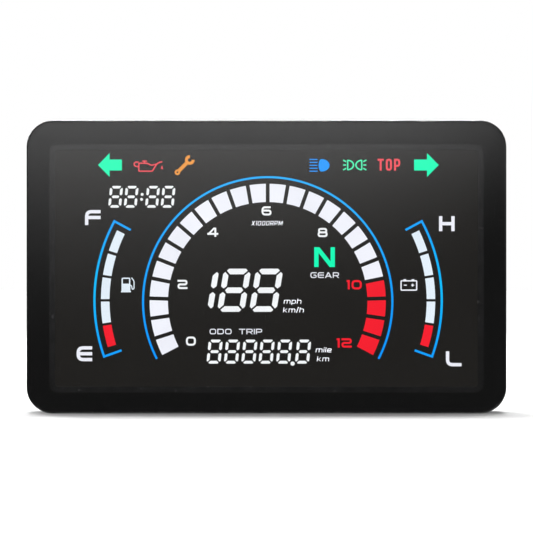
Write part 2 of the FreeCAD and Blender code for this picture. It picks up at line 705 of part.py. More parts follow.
def rear_case():
    """The rear shell: a tray with a raised plateau that carries studs, buttons, socket and vent."""
    body = new_body("rear_case", "parting")

    def behind_parting(words):
        return f"{words} - parting"

    outline = new_sketch(body, "outline")
    draw_rectangle(outline, *FACE[:3])
    pad(body, outline, behind_parting("back_plate"))
    plateau = new_sketch(body, "plateau", behind_parting("back_plate"))
    draw_rectangle(plateau, "plateau_width", "plateau_height", "plateau_radius")
    pad(body, plateau, "plateau_back - back_plate")

    back_depth = number(behind_parting("back_plate"))
    plateau_depth = number(behind_parting("plateau_back"))
    margin = 0.1
    half_plateau = number("plateau_width / 2") + margin
    half_plateau_height = number("plateau_height / 2") + margin

    def outside_plateau(edge):
        box = edge.BoundBox
        reach_x = max(abs(box.XMin), abs(box.XMax))
        reach_z = max(abs(box.ZMin), abs(box.ZMax))
        return reach_x > half_plateau or reach_z > half_plateau_height

    round_edges(body, edges_at(body.Tip.Shape, back_depth, outside_plateau), "back_edge")
    round_edges(body, edges_at(body.Tip.Shape, plateau_depth, lambda edge: True), "plateau_edge")

    hollow = new_sketch(body, "hollow")
    draw_rectangle(hollow, *shrunk(FACE, "wall")[:3])
    pocket(body, hollow, behind_parting("back_plate") + " - wall")
    raised = new_sketch(body, "raised_hollow", behind_parting("back_plate") + " - wall")
    inner = shrunk(("plateau_width", "plateau_height", "plateau_radius", "0"), "wall")
    draw_rectangle(raised, *inner[:3])
    pocket(body, raised, "plateau_back - back_plate")

    screw_bosses = new_sketch(body, "screw_bosses")
    draw_circles(screw_bosses, "case_boss_radius", SCREW_PLACES)
    pad(body, screw_bosses, behind_parting("back_plate") + " - wall")
    stud_bosses = new_sketch(body, "stud_bosses", behind_parting("stud_head_depth") + " - head_cover")
    draw_circles(stud_bosses, "stud_boss_radius", STUD_PLACES)
    pad(body, stud_bosses, "boss_back - stud_head_depth + head_cover")
    collars = new_sketch(body, "button_collars", behind_parting("collar_front"))
    draw_circles(collars, "collar_radius", BUTTON_PLACES)
    pad(body, collars, "collar_back - collar_front")
    rim = new_sketch(body, "socket_rim", behind_parting("plateau_back") + " - wall")
    reach = "2 * (socket_seal_gap + socket_rim)"
    draw_rectangle(rim, f"socket_width + {reach}", f"socket_height + {reach}",
                   "socket_radius + socket_seal_gap + socket_rim", "0", "socket_lift")
    pad(body, rim, "wall + rim_rise")
    posts = new_sketch(body, "board_posts", f"{BOARD_BACK} - parting")
    draw_circles(posts, "post_girth", four_places("post_across", "post_lift"))
    pad(body, posts, f"back_plate - wall - ({BOARD_BACK})")

    screw_wells = new_sketch(body, "screw_wells", behind_parting("screw_seat"))
    draw_circles(screw_wells, "screw_well_radius", SCREW_PLACES)
    pocket(body, screw_wells, "back_plate - screw_seat")
    screw_ways = new_sketch(body, "screw_ways")
    draw_circles(screw_ways, "screw_radius", SCREW_PLACES)
    pocket(body, screw_ways, behind_parting("screw_seat"))
    stud_heads = new_sketch(body, "stud_heads", behind_parting("stud_head_depth"))
    draw_circles(stud_heads, "stud_head_radius", STUD_PLACES)
    pocket(body, stud_heads, "stud_head_thick")
    stud_ways = new_sketch(body, "stud_ways", behind_parting("stud_head_depth"))
    draw_circles(stud_ways, "shoulder_radius", STUD_PLACES)
    pocket(body, stud_ways, "boss_back - stud_head_depth")
    bores = new_sketch(body, "button_bores", behind_parting("collar_front") + " - bore_lead")
    draw_circles(bores, "button_bore", BUTTON_PLACES)
    pocket(body, bores, "collar_back - collar_front + bore_lead")
    socket_way = new_sketch(body, "socket_way", behind_parting("plateau_back") + " - wall")
    draw_rectangle(socket_way, "socket_width + 2 * socket_seal_gap",
                   "socket_height + 2 * socket_seal_gap", "socket_radius + socket_seal_gap",
                   "0", "socket_lift")
    pocket(body, socket_way, "wall + rim_rise")
    vent = new_sketch(body, "vent_hole", behind_parting("plateau_back") + " - wall")
    draw_circles(vent, "vent_hole", VENT_PLACE)
    pocket(body, vent, "wall")
    seat = new_sketch(body, "membrane_seat", behind_parting("plateau_back") + " - membrane_thick")
    draw_circles(seat, "membrane_radius", VENT_PLACE)
    pocket(body, seat, "membrane_thick")
    groove = new_sketch(body, "seal_groove")
    groove_outer = shrunk(FACE, "(wall - seal_width) / 2")
    groove_inner = shrunk(FACE, "(wall + seal_width) / 2")
    draw_rectangle(groove, *groove_outer[:3])
    draw_rectangle(groove, *groove_inner[:3])
    pocket(body, groove, "seal_depth")


def case_seal():
    outer = shrunk(FACE, "(wall - seal_width) / 2")
    inner = shrunk(FACE, "(wall + seal_width) / 2")
    sheet_part("case_seal", "parting", "seal_depth", outer, inner)


def vent():
    """A breathing disc under a low cap with three slots round its side."""
    membrane = cylinder("vent_disc", "membrane_radius", "plateau_back - membrane_thick",
                        "membrane_thick", "vent_across", "vent_lift")
    keep(membrane, "vent_membrane")
    outer = cylinder("cap_outer", "vent_cap_radius", "plateau_back", "vent_cap_back - plateau_back",
                     "vent_across", "vent_lift")
    inner = cylinder("cap_inner", "vent_cap_radius - 1.2", "plateau_back", "0.8",
                     "vent_across", "vent_lift")
    bars = [block(f"cap_slot_{index}", "14.0", "1.2", "plateau_back", "0.6",
                  "vent_across", f"vent_lift + {3.0 * (index - 1)}") for index in range(3)]
    keep(cut("cap_cut", outer, join("cap_hollow", inner, *bars)), "vent_cap")


def fixings():
    """Headed studs moulded into the rear case, and a rubber pad round each.

    A stud's shoulder ends on the seat plane, so that tightening the nut can't crush the pad.
    """
    studs = []
    pads = []
    for index, (across, lift) in enumerate(STUD_PLACES):
        head = cylinder(f"stud_head_{index}", "stud_head_radius", "stud_head_depth",
                        "stud_head_thick", across, lift)
        shoulder = cylinder(f"stud_shoulder_{index}", "shoulder_radius", "stud_head_depth",
                            "seat - stud_head_depth", across, lift)
        shank = cylinder(f"stud_shank_{index}", "stud_radius", "seat", "stud_free - stud_tip",
                         across, lift)
        tip = document.addObject("Part::Cone", f"stud_tip_{index}")
        tip.Placement = FreeCAD.Placement(V(0, 0, 0), FreeCAD.Rotation(V(1, 0, 0), -90))
        bind(tip, "Radius1", "stud_radius")
        bind(tip, "Radius2", "stud_radius - stud_tip")
        bind(tip, "Height", "stud_tip")
        bind(tip, "Placement.Base.x", across)
        bind(tip, "Placement.Base.y", "stud_free - stud_tip")
        bind(tip, "Placement.Base.z", lift)
        studs.append(join(f"stud_{index}", head, shoulder, shank, tip))
        disc = cylinder(f"pad_disc_{index}", "pad_radius", "boss_back", "seat - boss_back",
                        across, lift)
        hole = cylinder(f"pad_hole_{index}", "pad_hole_radius", "boss_back", "seat - boss_back",
                        across, lift)
        pads.append(cut(f"pad_{index}", disc, hole))
    group("mounting_studs", studs)
    group("isolator_pads", pads)


def build_all():
    cover_lens()
    lens_backing()
    front_bezel()
    dust_gasket()
    display_stack()
    lcd_contact_pins()
    light_box()
    backlight_leds()
    main_board()
    screws()
    electronics()
    for name, across in BUTTONS:
        button_set(name, across)
    harness_socket()
    socket_seal()
    rear_case()
    case_seal()
    vent()
    fixings()


def check_all():
    """Stop on any object that failed to compute and any sub-part without a sound solid."""
    document.recompute()
    for item in document.Objects:
        if "Invalid" in item.State or "Error" in item.State:
            raise RuntimeError(f"{item.Label} is {item.State}")
    for item in subparts:
        if item.Shape.isNull() or not item.Shape.isValid() or not item.Shape.Solids:
            raise RuntimeError(f"{item.Label} has no sound solid")


def write_parts():
    os.makedirs("parts", exist_ok=True)
    for item in subparts:
        item.Shape.exportStep(f"parts/{item.Label}.step")
        box = item.Shape.BoundBox
        print(f"{item.Label}: {len(item.Shape.Solids)} solid(s), {item.Shape.Volume:.1f} mm3, "
              f"{box.XLength:.1f} x {box.YLength:.1f} x {box.ZLength:.1f} mm")
    print(len(subparts), "nodes")


build_all()
check_all()
write_parts()
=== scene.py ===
# %% [markdown]
# # A motorcycle instrument cluster
# The cluster is a slim sealed box. One smoked lens covers its whole front, and a segment display
# glows behind it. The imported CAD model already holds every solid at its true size. This lesson
# gives those solids their finishes, draws the display's lit segments, and shapes the threads,
# springs and grooved rubber that the plain solids only stand in for.

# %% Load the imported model
import json

import bpy
import numpy as np
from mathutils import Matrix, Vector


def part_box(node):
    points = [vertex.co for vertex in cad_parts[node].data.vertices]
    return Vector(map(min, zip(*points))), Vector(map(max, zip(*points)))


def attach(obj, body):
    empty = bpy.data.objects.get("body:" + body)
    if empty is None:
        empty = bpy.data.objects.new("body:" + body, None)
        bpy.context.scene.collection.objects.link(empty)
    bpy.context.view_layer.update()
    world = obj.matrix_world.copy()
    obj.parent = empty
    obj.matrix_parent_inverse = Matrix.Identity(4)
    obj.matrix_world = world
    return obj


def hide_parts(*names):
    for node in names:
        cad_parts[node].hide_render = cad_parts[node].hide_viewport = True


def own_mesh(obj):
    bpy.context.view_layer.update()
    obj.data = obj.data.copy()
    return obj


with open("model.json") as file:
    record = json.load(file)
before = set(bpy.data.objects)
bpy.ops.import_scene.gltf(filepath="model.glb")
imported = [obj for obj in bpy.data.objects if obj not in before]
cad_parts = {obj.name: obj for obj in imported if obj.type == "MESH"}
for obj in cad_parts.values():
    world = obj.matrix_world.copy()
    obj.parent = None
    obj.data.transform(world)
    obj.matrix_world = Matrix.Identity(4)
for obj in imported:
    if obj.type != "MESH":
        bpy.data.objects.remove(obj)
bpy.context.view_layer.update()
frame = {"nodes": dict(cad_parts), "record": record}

MM = 0.001
nodes = frame["nodes"]
slot_of = {part["node"]: part["material_slot"] for part in frame["record"]["subparts"]}
HOUSING = "housing"

# %% [markdown]
# ## Places that everything else is measured from
# The display's drawings are laid out in millimetres from the middle of the lens face, which is how
# the artwork of a printed display is dimensioned. The lens face, the printed border and the front
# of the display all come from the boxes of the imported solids.

# %% The face and its layers
lens_low, lens_high = (np.array(corner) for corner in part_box("cover_lens"))
face_middle = (lens_low + lens_high) / 2
FACE_FRONT = lens_low[1]
LENS_BACK = lens_high[1]
FLOOR_LEVEL = lens_low[2]
DISPLAY_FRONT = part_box("lcd_front_polariser")[0][1]
display_depth = (DISPLAY_FRONT - FACE_FRONT) / MM
print("face", (lens_high - lens_low)[[0, 2]] / MM, "mm; display", display_depth, "mm behind it")

# %% [markdown]
# ## The camera
# The cluster is seen square on, from far enough away that only its face shows. The focal length
# follows from the distance and from the width that the frame should take in.

# %% Camera
CAMERA_DISTANCE = 1.2
SEEN_WIDTH = 177.66 * MM
SENSOR = 36.0
CAMERA_LIFT = 0.17 * MM

camera_data = bpy.data.cameras.new("camera")
camera_data.sensor_width = SENSOR
camera_data.lens = SENSOR * CAMERA_DISTANCE / SEEN_WIDTH
camera_data.clip_start = 0.01
camera = bpy.data.objects.new("camera", camera_data)
camera.location = (0, FACE_FRONT - CAMERA_DISTANCE, face_middle[2] + CAMERA_LIFT)
camera.rotation_euler = (np.pi / 2, 0, 0)
bpy.context.scene.collection.objects.link(camera)
bpy.context.scene.camera = camera
bpy.context.scene.view_settings.view_transform = "Standard"
print("focal length", round(camera_data.lens, 1), "mm")

# %% [markdown]
# ## Meshes from arrays
# Every new piece is a surface worked out as whole arrays. One helper puts points and faces into
# Blender, a second lists the faces of a grid and closes it where asked, and a third makes one mesh
# of several.

# %% Helpers for meshes
def add_piece(name, points, faces, finish, slot, body=HOUSING, smooth=False):
    """A mesh object from points (metres) and faces, riding on a body, with its finish. The slot is
    not used.
    """
    mesh = bpy.data.meshes.new(name)
    mesh.from_pydata(np.asarray(points).tolist(), [], [list(face) for face in faces])
    mesh.polygons.foreach_set("use_smooth", [smooth] * len(mesh.polygons))
    mesh.materials.append(finish)
    mesh.update()
    piece = bpy.data.objects.new(name, mesh)
    bpy.context.scene.collection.objects.link(piece)
    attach(piece, body)
    return piece


def grid_faces(rows, columns, wrap_rows=False, wrap_columns=False):
    """Quads of a grid of points: each corner, the next row's, both of the next column, in order."""
    row = np.arange(rows if wrap_rows else rows - 1)
    column = np.arange(columns if wrap_columns else columns - 1)
    row, column = np.meshgrid(row, column, indexing="ij")
    next_row, next_column = (row + 1) % rows, (column + 1) % columns
    corners = (row * columns + column, next_row * columns + column,
               next_row * columns + next_column, row * columns + next_column)
    return np.stack(corners, axis=-1).reshape(-1, 4)


def joined(parts):
    """Points and faces of several meshes as one: each mesh's faces count on from the last one's."""
    points, faces, start = [], [], 0
    for some_points, some_faces in parts:
        points.append(some_points)
        faces += [tuple(index + start for index in face) for face in some_faces]
        start += len(some_points)
    return np.concatenate(points), faces


# %% [markdown]
# ## Node materials
# A finish is one Principled shader with small patterns driving its colour, its roughness and its
# bump. The patterns all read Object coordinates, so that they are the right size on every piece.
# These helpers keep each finish down to a few lines.

# %% Helpers for materials
def new_finish(name, colour, **sockets):
    """A node material with one Principled shader. Sockets are given by name, with _ for a space."""
    finish = bpy.data.materials.new(name)
    finish.use_nodes = True
    shader = finish.node_tree.nodes["Principled BSDF"]
    shader.inputs["Base Color"].default_value = (*colour, 1)
    for words, value in sockets.items():
        shader.inputs[words.replace("_", " ")].default_value = value
    return finish


def add_node(finish, kind, inputs=None, **settings):
    """A node of a kind, with its settings, and with its inputs linked or given a value."""
    node = finish.node_tree.nodes.new(kind)
    for words, value in settings.items():
        setattr(node, words, value)
    for key, value in (inputs or {}).items():
        if isinstance(value, bpy.types.NodeSocket):
            finish.node_tree.links.new(value, node.inputs[key])
        else:
            node.inputs[key].default_value = value
    return node


def position(finish):
    """The place on the object itself, in metres, that every pattern here reads."""
    return add_node(finish, "ShaderNodeTexCoord").outputs["Object"]


def noise(finish, size, detail=3.0, rough=0.55, place=None):
    """Smooth random cloud whose lumps are about size across, in millimetres."""
    inputs = {"Vector": place or position(finish), "Scale": 1 / (size * MM), "Detail": detail,
              "Roughness": rough}
    return add_node(finish, "ShaderNodeTexNoise", inputs).outputs["Fac"]


def spread(finish, value, low, high, start=0.3, end=0.7):
    """The value's range start to end stretched to low to high."""
    inputs = {"Value": value, "From Min": start, "From Max": end, "To Min": low, "To Max": high}
    return add_node(finish, "ShaderNodeMapRange", inputs).outputs["Result"]


def blend_colours(finish, value, first, second):
    """A colour between two: first where the value is 0, second where it is 1."""
    inputs = {"Factor": value, 6: (*first, 1), 7: (*second, 1)}
    node = add_node(finish, "ShaderNodeMix", inputs, data_type="RGBA")
    return node.outputs[2]


def drive(finish, socket, value):
    """Links a value to a socket of the finish's shader."""
    finish.node_tree.links.new(value, finish.node_tree.nodes["Principled BSDF"].inputs[socket])


def raise_bump(finish, height, depth):
    """Bump whose full height is depth millimetres."""
    inputs = {"Height": height, "Distance": depth * MM, "Strength": 1.0}
    drive(finish, "Normal", add_node(finish, "ShaderNodeBump", inputs).outputs["Normal"])


def worn_colour(finish, colour, size, change):
    """The finish's colour with slow patches that are lighter and darker by a share of it."""
    patches = spread(finish, noise(finish, size), 0, 1)
    darker = [channel * (1 - change) for channel in colour]
    lighter = [channel * (1 + change) for channel in colour]
    drive(finish, "Base Color", blend_colours(finish, patches, darker, lighter))


# %% [markdown]
# ## The shells' moulded plastic
# Both shells are black nylon from a spark-eroded tool, which leaves an even, fine grain. A flat
# picture of it would stretch round the corners. A cell pattern about half a millimetre across,
# mixed with finer noise, gives the grain the same size everywhere.

# %% Moulded plastics
def moulded_plastic(name, colour, grain, depth, roughness):
    """Matte plastic with an eroded grain of a size and depth in millimetres."""
    finish = new_finish(name, colour, IOR=1.52)
    worn_colour(finish, colour, 18, 0.08)
    cells = add_node(finish, "ShaderNodeTexVoronoi", {"Vector": position(finish),
                     "Scale": 1 / (grain * MM)}, feature="SMOOTH_F1").outputs["Distance"]
    fine = noise(finish, grain / 2, 4)
    grains = add_node(finish, "ShaderNodeMath", {0: cells, 1: fine}, operation="MULTIPLY")
    raise_bump(finish, grains.outputs[0], depth)
    gloss = spread(finish, noise(finish, 9, 5), roughness - 0.06, roughness + 0.08)
    drive(finish, "Roughness", gloss)
    return finish


finishes = {
    "bezel_plastic": moulded_plastic("bezel plastic", (0.017, 0.017, 0.018), 0.45, 0.09, 0.42),
    "case_plastic": moulded_plastic("case plastic", (0.021, 0.021, 0.022), 0.7, 0.16, 0.46),
    "socket_plastic": moulded_plastic("socket plastic", (0.028, 0.028, 0.03), 0.3, 0.03, 0.38),
    "button_plastic": moulded_plastic("button plastic", (0.035, 0.035, 0.037), 0.2, 0.02, 0.33),
    "chip_plastic": moulded_plastic("chip epoxy", (0.03, 0.03, 0.032), 0.15, 0.02, 0.55),
    "black_tape": moulded_plastic("bonding tape", (0.012, 0.012, 0.012), 0.3, 0.02, 0.6),
}
print(len(finishes), "moulded finishes")

# %% [markdown]
# ## Rubber, foam and the vent's disc
# Rubber has no sharp grain. It is a soft satin skin with a bloom of fine dust, which sheen gives at
# the edges. The foam and the vent's felted disc are open, so their bump is deep for its size.

# %% Soft finishes
def soft_finish(name, colour, lump, depth, roughness, sheen):
    """Satin skin with lumps of a size and depth in millimetres, and a share of dusty sheen."""
    finish = new_finish(name, colour, Sheen_Weight=sheen, Sheen_Roughness=0.6)
    worn_colour(finish, colour, 5, 0.25)
    raise_bump(finish, noise(finish, lump, 5, 0.6), depth)
    gloss = spread(finish, noise(finish, 3, 4), roughness - 0.08, roughness + 0.08)
    drive(finish, "Roughness", gloss)
    return finish


finishes["pad_rubber"] = soft_finish("pad rubber", (0.016, 0.016, 0.017), 0.25, 0.03, 0.66, 0.12)
finishes["seal_rubber"] = soft_finish("seal rubber", (0.02, 0.02, 0.022), 0.4, 0.02, 0.5, 0.08)
finishes["gasket_foam"] = soft_finish("gasket foam", (0.022, 0.022, 0.022), 0.3, 0.004, 0.2, 0.0)
finishes["membrane"] = soft_finish("vent felt", (0.75, 0.74, 0.72), 0.12, 0.05, 0.9, 0.1)
print(len(finishes), "finishes with the soft ones")

# %% [markdown]
# ## Metals
# The studs are zinc-plated and the screws are dark zinc. Turning and rolling leave marks that run
# round a bar, so the noise is squeezed along Y, the axis of every fastener here. The crystal and
# the pins are plated, which is smoother.

# %% Metal finishes
MARK_SIZE = 0.75


def plated_metal(name, colour, roughness):
    """Metal with fine marks round the Y axis and slow patches of duller plating."""
    finish = new_finish(name, colour, Metallic=1.0)
    squeeze = add_node(finish, "ShaderNodeMapping",
                       {"Vector": position(finish), "Scale": (0.3, 5, 0.3)})
    marks = noise(finish, MARK_SIZE, 4, 0.6, squeeze.outputs["Vector"])
    worn_colour(finish, colour, 2.5, 0.1)
    drive(finish, "Roughness", spread(finish, marks, roughness - 0.08, roughness + 0.12))
    raise_bump(finish, marks, 0.01)
    return finish


finishes["zinc_steel"] = plated_metal("zinc plate", (0.42, 0.42, 0.41), 0.36)
finishes["screw_steel"] = plated_metal("dark zinc", (0.16, 0.16, 0.165), 0.34)
finishes["spring_steel"] = plated_metal("spring wire", (0.5, 0.5, 0.5), 0.25)
finishes["tinned"] = plated_metal("tin plate", (0.68, 0.68, 0.66), 0.28)
finishes["pin_gold"] = plated_metal("gold flash", (0.83, 0.6, 0.22), 0.2)
finishes["can_aluminium"] = plated_metal("drawn aluminium", (0.72, 0.73, 0.75), 0.32)
print(len(finishes), "finishes with the metals")

# %% [markdown]
# ## The board and what is inside
# The inside is sealed, but it is finished all the same, so that the cluster can be opened up. The
# board's green mask is glossy over a faint pattern of copper tracks, which wave bands give.

# %% Inner finishes
def solder_mask():
    """Green lacquer that is lighter over copper tracks."""
    finish = new_finish("solder mask", (0.02, 0.12, 0.05), Roughness=0.3, Coat_Weight=0.4)
    tracks = add_node(finish, "ShaderNodeTexWave", {"Vector": position(finish), "Scale": 260.0,
                      "Distortion": 9.0, "Detail": 1.0}, bands_direction="X").outputs["Fac"]
    copper = spread(finish, tracks, 0, 1, 0.72, 0.78)
    lacquer = blend_colours(finish, copper, (0.01, 0.085, 0.035), (0.03, 0.2, 0.08))
    drive(finish, "Base Color", lacquer)
    raise_bump(finish, copper, 0.03)
    return finish


def soft_plastic(name, colour, roughness, **sockets):
    """Smooth moulded plastic with slow patches and a slight orange-peel skin."""
    finish = new_finish(name, colour, **sockets)
    worn_colour(finish, colour, 12, 0.05)
    raise_bump(finish, noise(finish, 1.5, 2), 0.01)
    drive(finish, "Roughness", spread(finish, noise(finish, 6), roughness - 0.05, roughness + 0.05))
    return finish


finishes["board"] = solder_mask()
finishes["white_plastic"] = soft_plastic("reflector white", (0.85, 0.85, 0.84), 0.35)
finishes["diffuser"] = soft_plastic("diffuser sheet", (0.85, 0.86, 0.88), 0.6)
finishes["ferrite"] = soft_plastic("ferrite", (0.05, 0.05, 0.055), 0.6)
finishes["passives"] = soft_plastic("chip ceramic", (0.5, 0.36, 0.22), 0.5)
finishes["lamp"] = soft_plastic("lamp", (0.9, 0.85, 0.6), 0.3, Emission_Color=(1, 0.95, 0.85, 1),
                                Emission_Strength=0.4)
finishes["colour_film"] = soft_plastic("colour film", (0.3, 0.32, 0.36), 0.4)
print(sorted(finishes))

# %% [markdown]
# ## The dark display
# A negative display is never quite black: a little of the warm backlight leaks through its crossed
# polarisers. Its front film also mirrors much less than the lens does, so its specular level is
# low.

# %% Display glass
LEAK = (0.0108, 0.0098, 0.0083)


def display_film(name, glow):
    """A dark film that lets an even, slightly mottled share of backlight through."""
    finish = new_finish(name, (0.004, 0.004, 0.004), Roughness=0.12, Specular_IOR_Level=0.28,
                        Emission_Strength=1.0)
    mottle = spread(finish, noise(finish, 22, 2), 0, 1)
    dim = [channel * glow * 0.96 for channel in LEAK]
    bright = [channel * glow * 1.04 for channel in LEAK]
    drive(finish, "Emission Color", blend_colours(finish, mottle, dim, bright))
    return finish


finishes["polariser_film"] = display_film("polariser film", 1.0)
finishes["display_glass"] = display_film("display glass", 0.5)

# %% [markdown]
# ## The smoked lens
# The lens is hard-coated acrylic, 2.5 mm thick, that takes a little of the light. One Principled
# shader with full transmission makes it a real refracting block, so its edge and its two faces
# behave as they should. A polish this good has no bump to show, only a faint unevenness of its
# gloss where the coating flowed.

# %% Lens
LENS_TINT = (0.86, 0.86, 0.865)
smoked = new_finish("smoked lens", LENS_TINT, IOR=1.49, Transmission_Weight=1.0)
drive(smoked, "Roughness", spread(smoked, noise(smoked, 12), 0.01, 0.022))
finishes["smoked_lens"] = smoked
finishes["black_print"] = soft_plastic("black print", (0.007, 0.007, 0.007), 0.5,
                                       Specular_IOR_Level=0.05)

for name, node in nodes.items():
    node.data.materials.clear()
    node.data.materials.append(finishes[slot_of[name]])
print("finished", len(nodes), "solids")

# %% [markdown]
# ## The printed border
# The black border is ink on the back of the lens. In the CAD model the ink touches the lens, and
# two faces in one plane make speckle, so a piece of its own stands for it. It is a ring between two
# rounded rectangles, a hair behind the lens. Its formula: each corner is a quarter circle, and the
# same number of points on both outlines makes them the two rows of a grid. The window's four sizes
# are its width, height, corner radius and lift.

# %% Rounded outlines and the border
CORNER_POINTS = 16


def rounded_outline(width, height, radius, lift=0.0):
    """Points round a rectangle with round corners: corner centre plus radius times (cos, sin)."""
    turn = np.linspace(0, np.pi / 2, CORNER_POINTS)
    quarter = np.stack([np.cos(turn), np.sin(turn)], axis=1) * radius
    spin = np.array([[0, 1], [-1, 0]])
    reach = np.array([width / 2 - radius, height / 2 - radius])
    signs = np.array([[1, 1], [-1, 1], [-1, -1], [1, -1]])
    corners = []
    for corner in range(4):
        corners.append(quarter + reach * signs[corner])
        quarter = quarter @ spin
    return np.concatenate(corners) + (0, lift)


def flat_plate(grid, front, thick, closed=False, spread_out=1.0):
    """Points and faces of a thin plate: a grid of (x, z) in mm, copied front and back, with sides.

    The grid is turned so that its cells run counter-clockwise seen from the front.
    """
    first, second = grid[1, 0] - grid[0, 0], grid[0, 1] - grid[0, 0]
    if first[0] * second[1] - first[1] * second[0] < 0:
        grid = grid[::-1]
    rows, columns = grid.shape[:2]
    flat = grid.reshape(-1, 2) * MM * spread_out + face_middle[[0, 2]]
    sheets = [np.stack([flat[:, 0], np.full(len(flat), y), flat[:, 1]], axis=1)
              for y in (front, front + thick)]
    face = grid_faces(rows, columns, wrap_columns=closed)
    index = np.arange(rows * columns).reshape(rows, columns)
    if closed:
        loops = [(index[-1], np.roll(index[-1], -1)), (np.roll(index[0], -1), index[0])]
    else:
        rim = np.concatenate([index[:, 0], index[-1, 1:], index[-2::-1, -1], index[0, -2:0:-1]])
        loops = [(rim, np.roll(rim, -1))]
    count = rows * columns
    sides = [np.stack([start, start + count, end + count, end], axis=1) for start, end in loops]
    return np.concatenate(sheets), np.concatenate([face, face[:, ::-1] + count, *sides])


INK_GAP = 0.02 * MM
INK_THICK = 0.06 * MM
mask_low, mask_high = (np.array(corner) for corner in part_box("lens_mask"))
mask_width, _, mask_height = (mask_high - mask_low) / MM
INK_CORNER = 8.3
WINDOW = (145.0, 82.9, 3.0, -0.45)
border = np.stack([rounded_outline(mask_width, mask_height, INK_CORNER), rounded_outline(*WINDOW)])
ink = flat_plate(border, LENS_BACK + INK_GAP, INK_THICK, closed=True)
border_print = add_piece("border_print", *ink, finishes["black_print"], "black_print")
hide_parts("lens_mask")
print("window", WINDOW[:2], "mm")

# %% [markdown]
# ## Lit ink
# A lit segment is a patch of coloured film with the lamp behind it. The patches are thin plates a
# hair in front of the display, each with an emissive finish: strength sets how bright it is, and a
# slow noise gives the slight unevenness of lamps in a light box. The finest print has clearer ink,
# so that its hair-thin strokes still read as white. The colours are given the way a
# designer reads them, 0 to 255, and turned to linear light here. The artwork's sizes are those seen
# on the lens face, so it grows a touch to lie five millimetres deeper.

# %% Glowing finishes
def linear(*channels):
    """Linear light from 0-255 screen values, by the usual curve's 2.2 power."""
    return [(channel / 255) ** 2.2 for channel in channels]


GLOW = 1.235
FINE_GLOW = 2.1


def lit_finish(name, first, second=None, level=0.0, reach=1.0, strength=GLOW):
    """A glow of one colour, or of two: the first at a level, the second a reach from it, in mm."""
    finish = new_finish(name, (0.0, 0.0, 0.0), Roughness=0.5, Specular_IOR_Level=0.0,
                        Emission_Strength=strength)
    lamps = spread(finish, noise(finish, 14, 1), 0, 1)
    low, high = linear(*first), linear(*(second or first))
    dim = blend_colours(finish, lamps, [channel * 0.94 for channel in low], low)
    if second:
        split = add_node(finish, "ShaderNodeSeparateXYZ", {"Vector": position(finish)})
        away = add_node(finish, "ShaderNodeMath", {0: split.outputs["Z"], 1: level * MM},
                        operation="SUBTRACT")
        away = add_node(finish, "ShaderNodeMath", {0: away.outputs[0]}, operation="ABSOLUTE")
        share = spread(finish, away.outputs[0], 0, 1, 0.0, reach * MM)
        dim = add_node(finish, "ShaderNodeMix", {"Factor": share, 6: dim, 7: (*high, 1)},
                       data_type="RGBA").outputs[2]
    drive(finish, "Emission Color", dim)
    return finish


glow = {
    "white": lit_finish("lit white", (250, 253, 255)),
    "cool": lit_finish("lit cool white", (244, 246, 255)),
    "fine": lit_finish("lit fine print", (246, 248, 255), strength=FINE_GLOW),
    "pale": lit_finish("lit pale blue", (232, 245, 255)),
    "grey": lit_finish("lit grey", (222, 222, 232)),
    "red": lit_finish("lit red", (250, 34, 50)),
    "soft_red": lit_finish("lit soft red", (242, 84, 94)),
    "green": lit_finish("lit green", (16, 255, 184)),
    "lamp_green": lit_finish("lit lamp green", (84, 250, 186)),
    "orange": lit_finish("lit orange", (242, 158, 66)),
    "beam_blue": lit_finish("lit beam blue", (14, 152, 255)),
    "arc_blue": lit_finish("lit arc blue", (30, 176, 255), (2, 148, 255), 32, 62),
    "edge_blue": lit_finish("lit edge blue", (10, 190, 255), (16, 156, 255), -6, 24),
}
PATCH_FRONT = DISPLAY_FRONT - 0.07 * MM
PATCH_THICK = 0.05 * MM
AS_SEEN = 1.0036


def add_patches(name, grids, colour):
    """One piece of lit patches from grids of (x, z), some of which close on themselves."""
    plates = [flat_plate(grid, PATCH_FRONT, PATCH_THICK, closed, AS_SEEN) for grid, closed in grids]
    return add_piece(name, *joined(plates), glow[colour], "colour_film")


# %% [markdown]
# ## Lines of light
# Most of the artwork is lines of one width: legends, arcs, telltale outlines. A line is a path with
# two edges, each half a width away along the path's own normal. At a corner the edge moves out by
# one over the cosine of half the turn, so that the width stays true. Corners are rounded first, by
# a short curve that starts and ends one radius away from the corner.

# %% Paths and ribbons
def round_corners(points, radius, closed=False):
    """The path with each corner as a curve (1-s)^2 A + 2s(1-s) P + s^2 B between its two sides."""
    points = np.asarray(points, float)
    before, after = np.roll(points, 1, axis=0), np.roll(points, -1, axis=0)
    reach_in = np.linalg.norm(points - before, axis=1)
    reach_out = np.linalg.norm(after - points, axis=1)
    cut = np.minimum(radius, 0.5 * np.minimum(reach_in, reach_out))[:, None]
    start = points + (before - points) / reach_in[:, None] * cut
    end = points + (after - points) / reach_out[:, None] * cut
    s = np.linspace(0, 1, 7)[None, :, None]
    curve = ((1 - s) ** 2 * start[:, None] + 2 * s * (1 - s) * points[:, None]
             + s ** 2 * end[:, None])
    if closed:
        return curve.reshape(-1, 2)
    return np.concatenate([points[:1], curve[1:-1].reshape(-1, 2), points[-1:]])


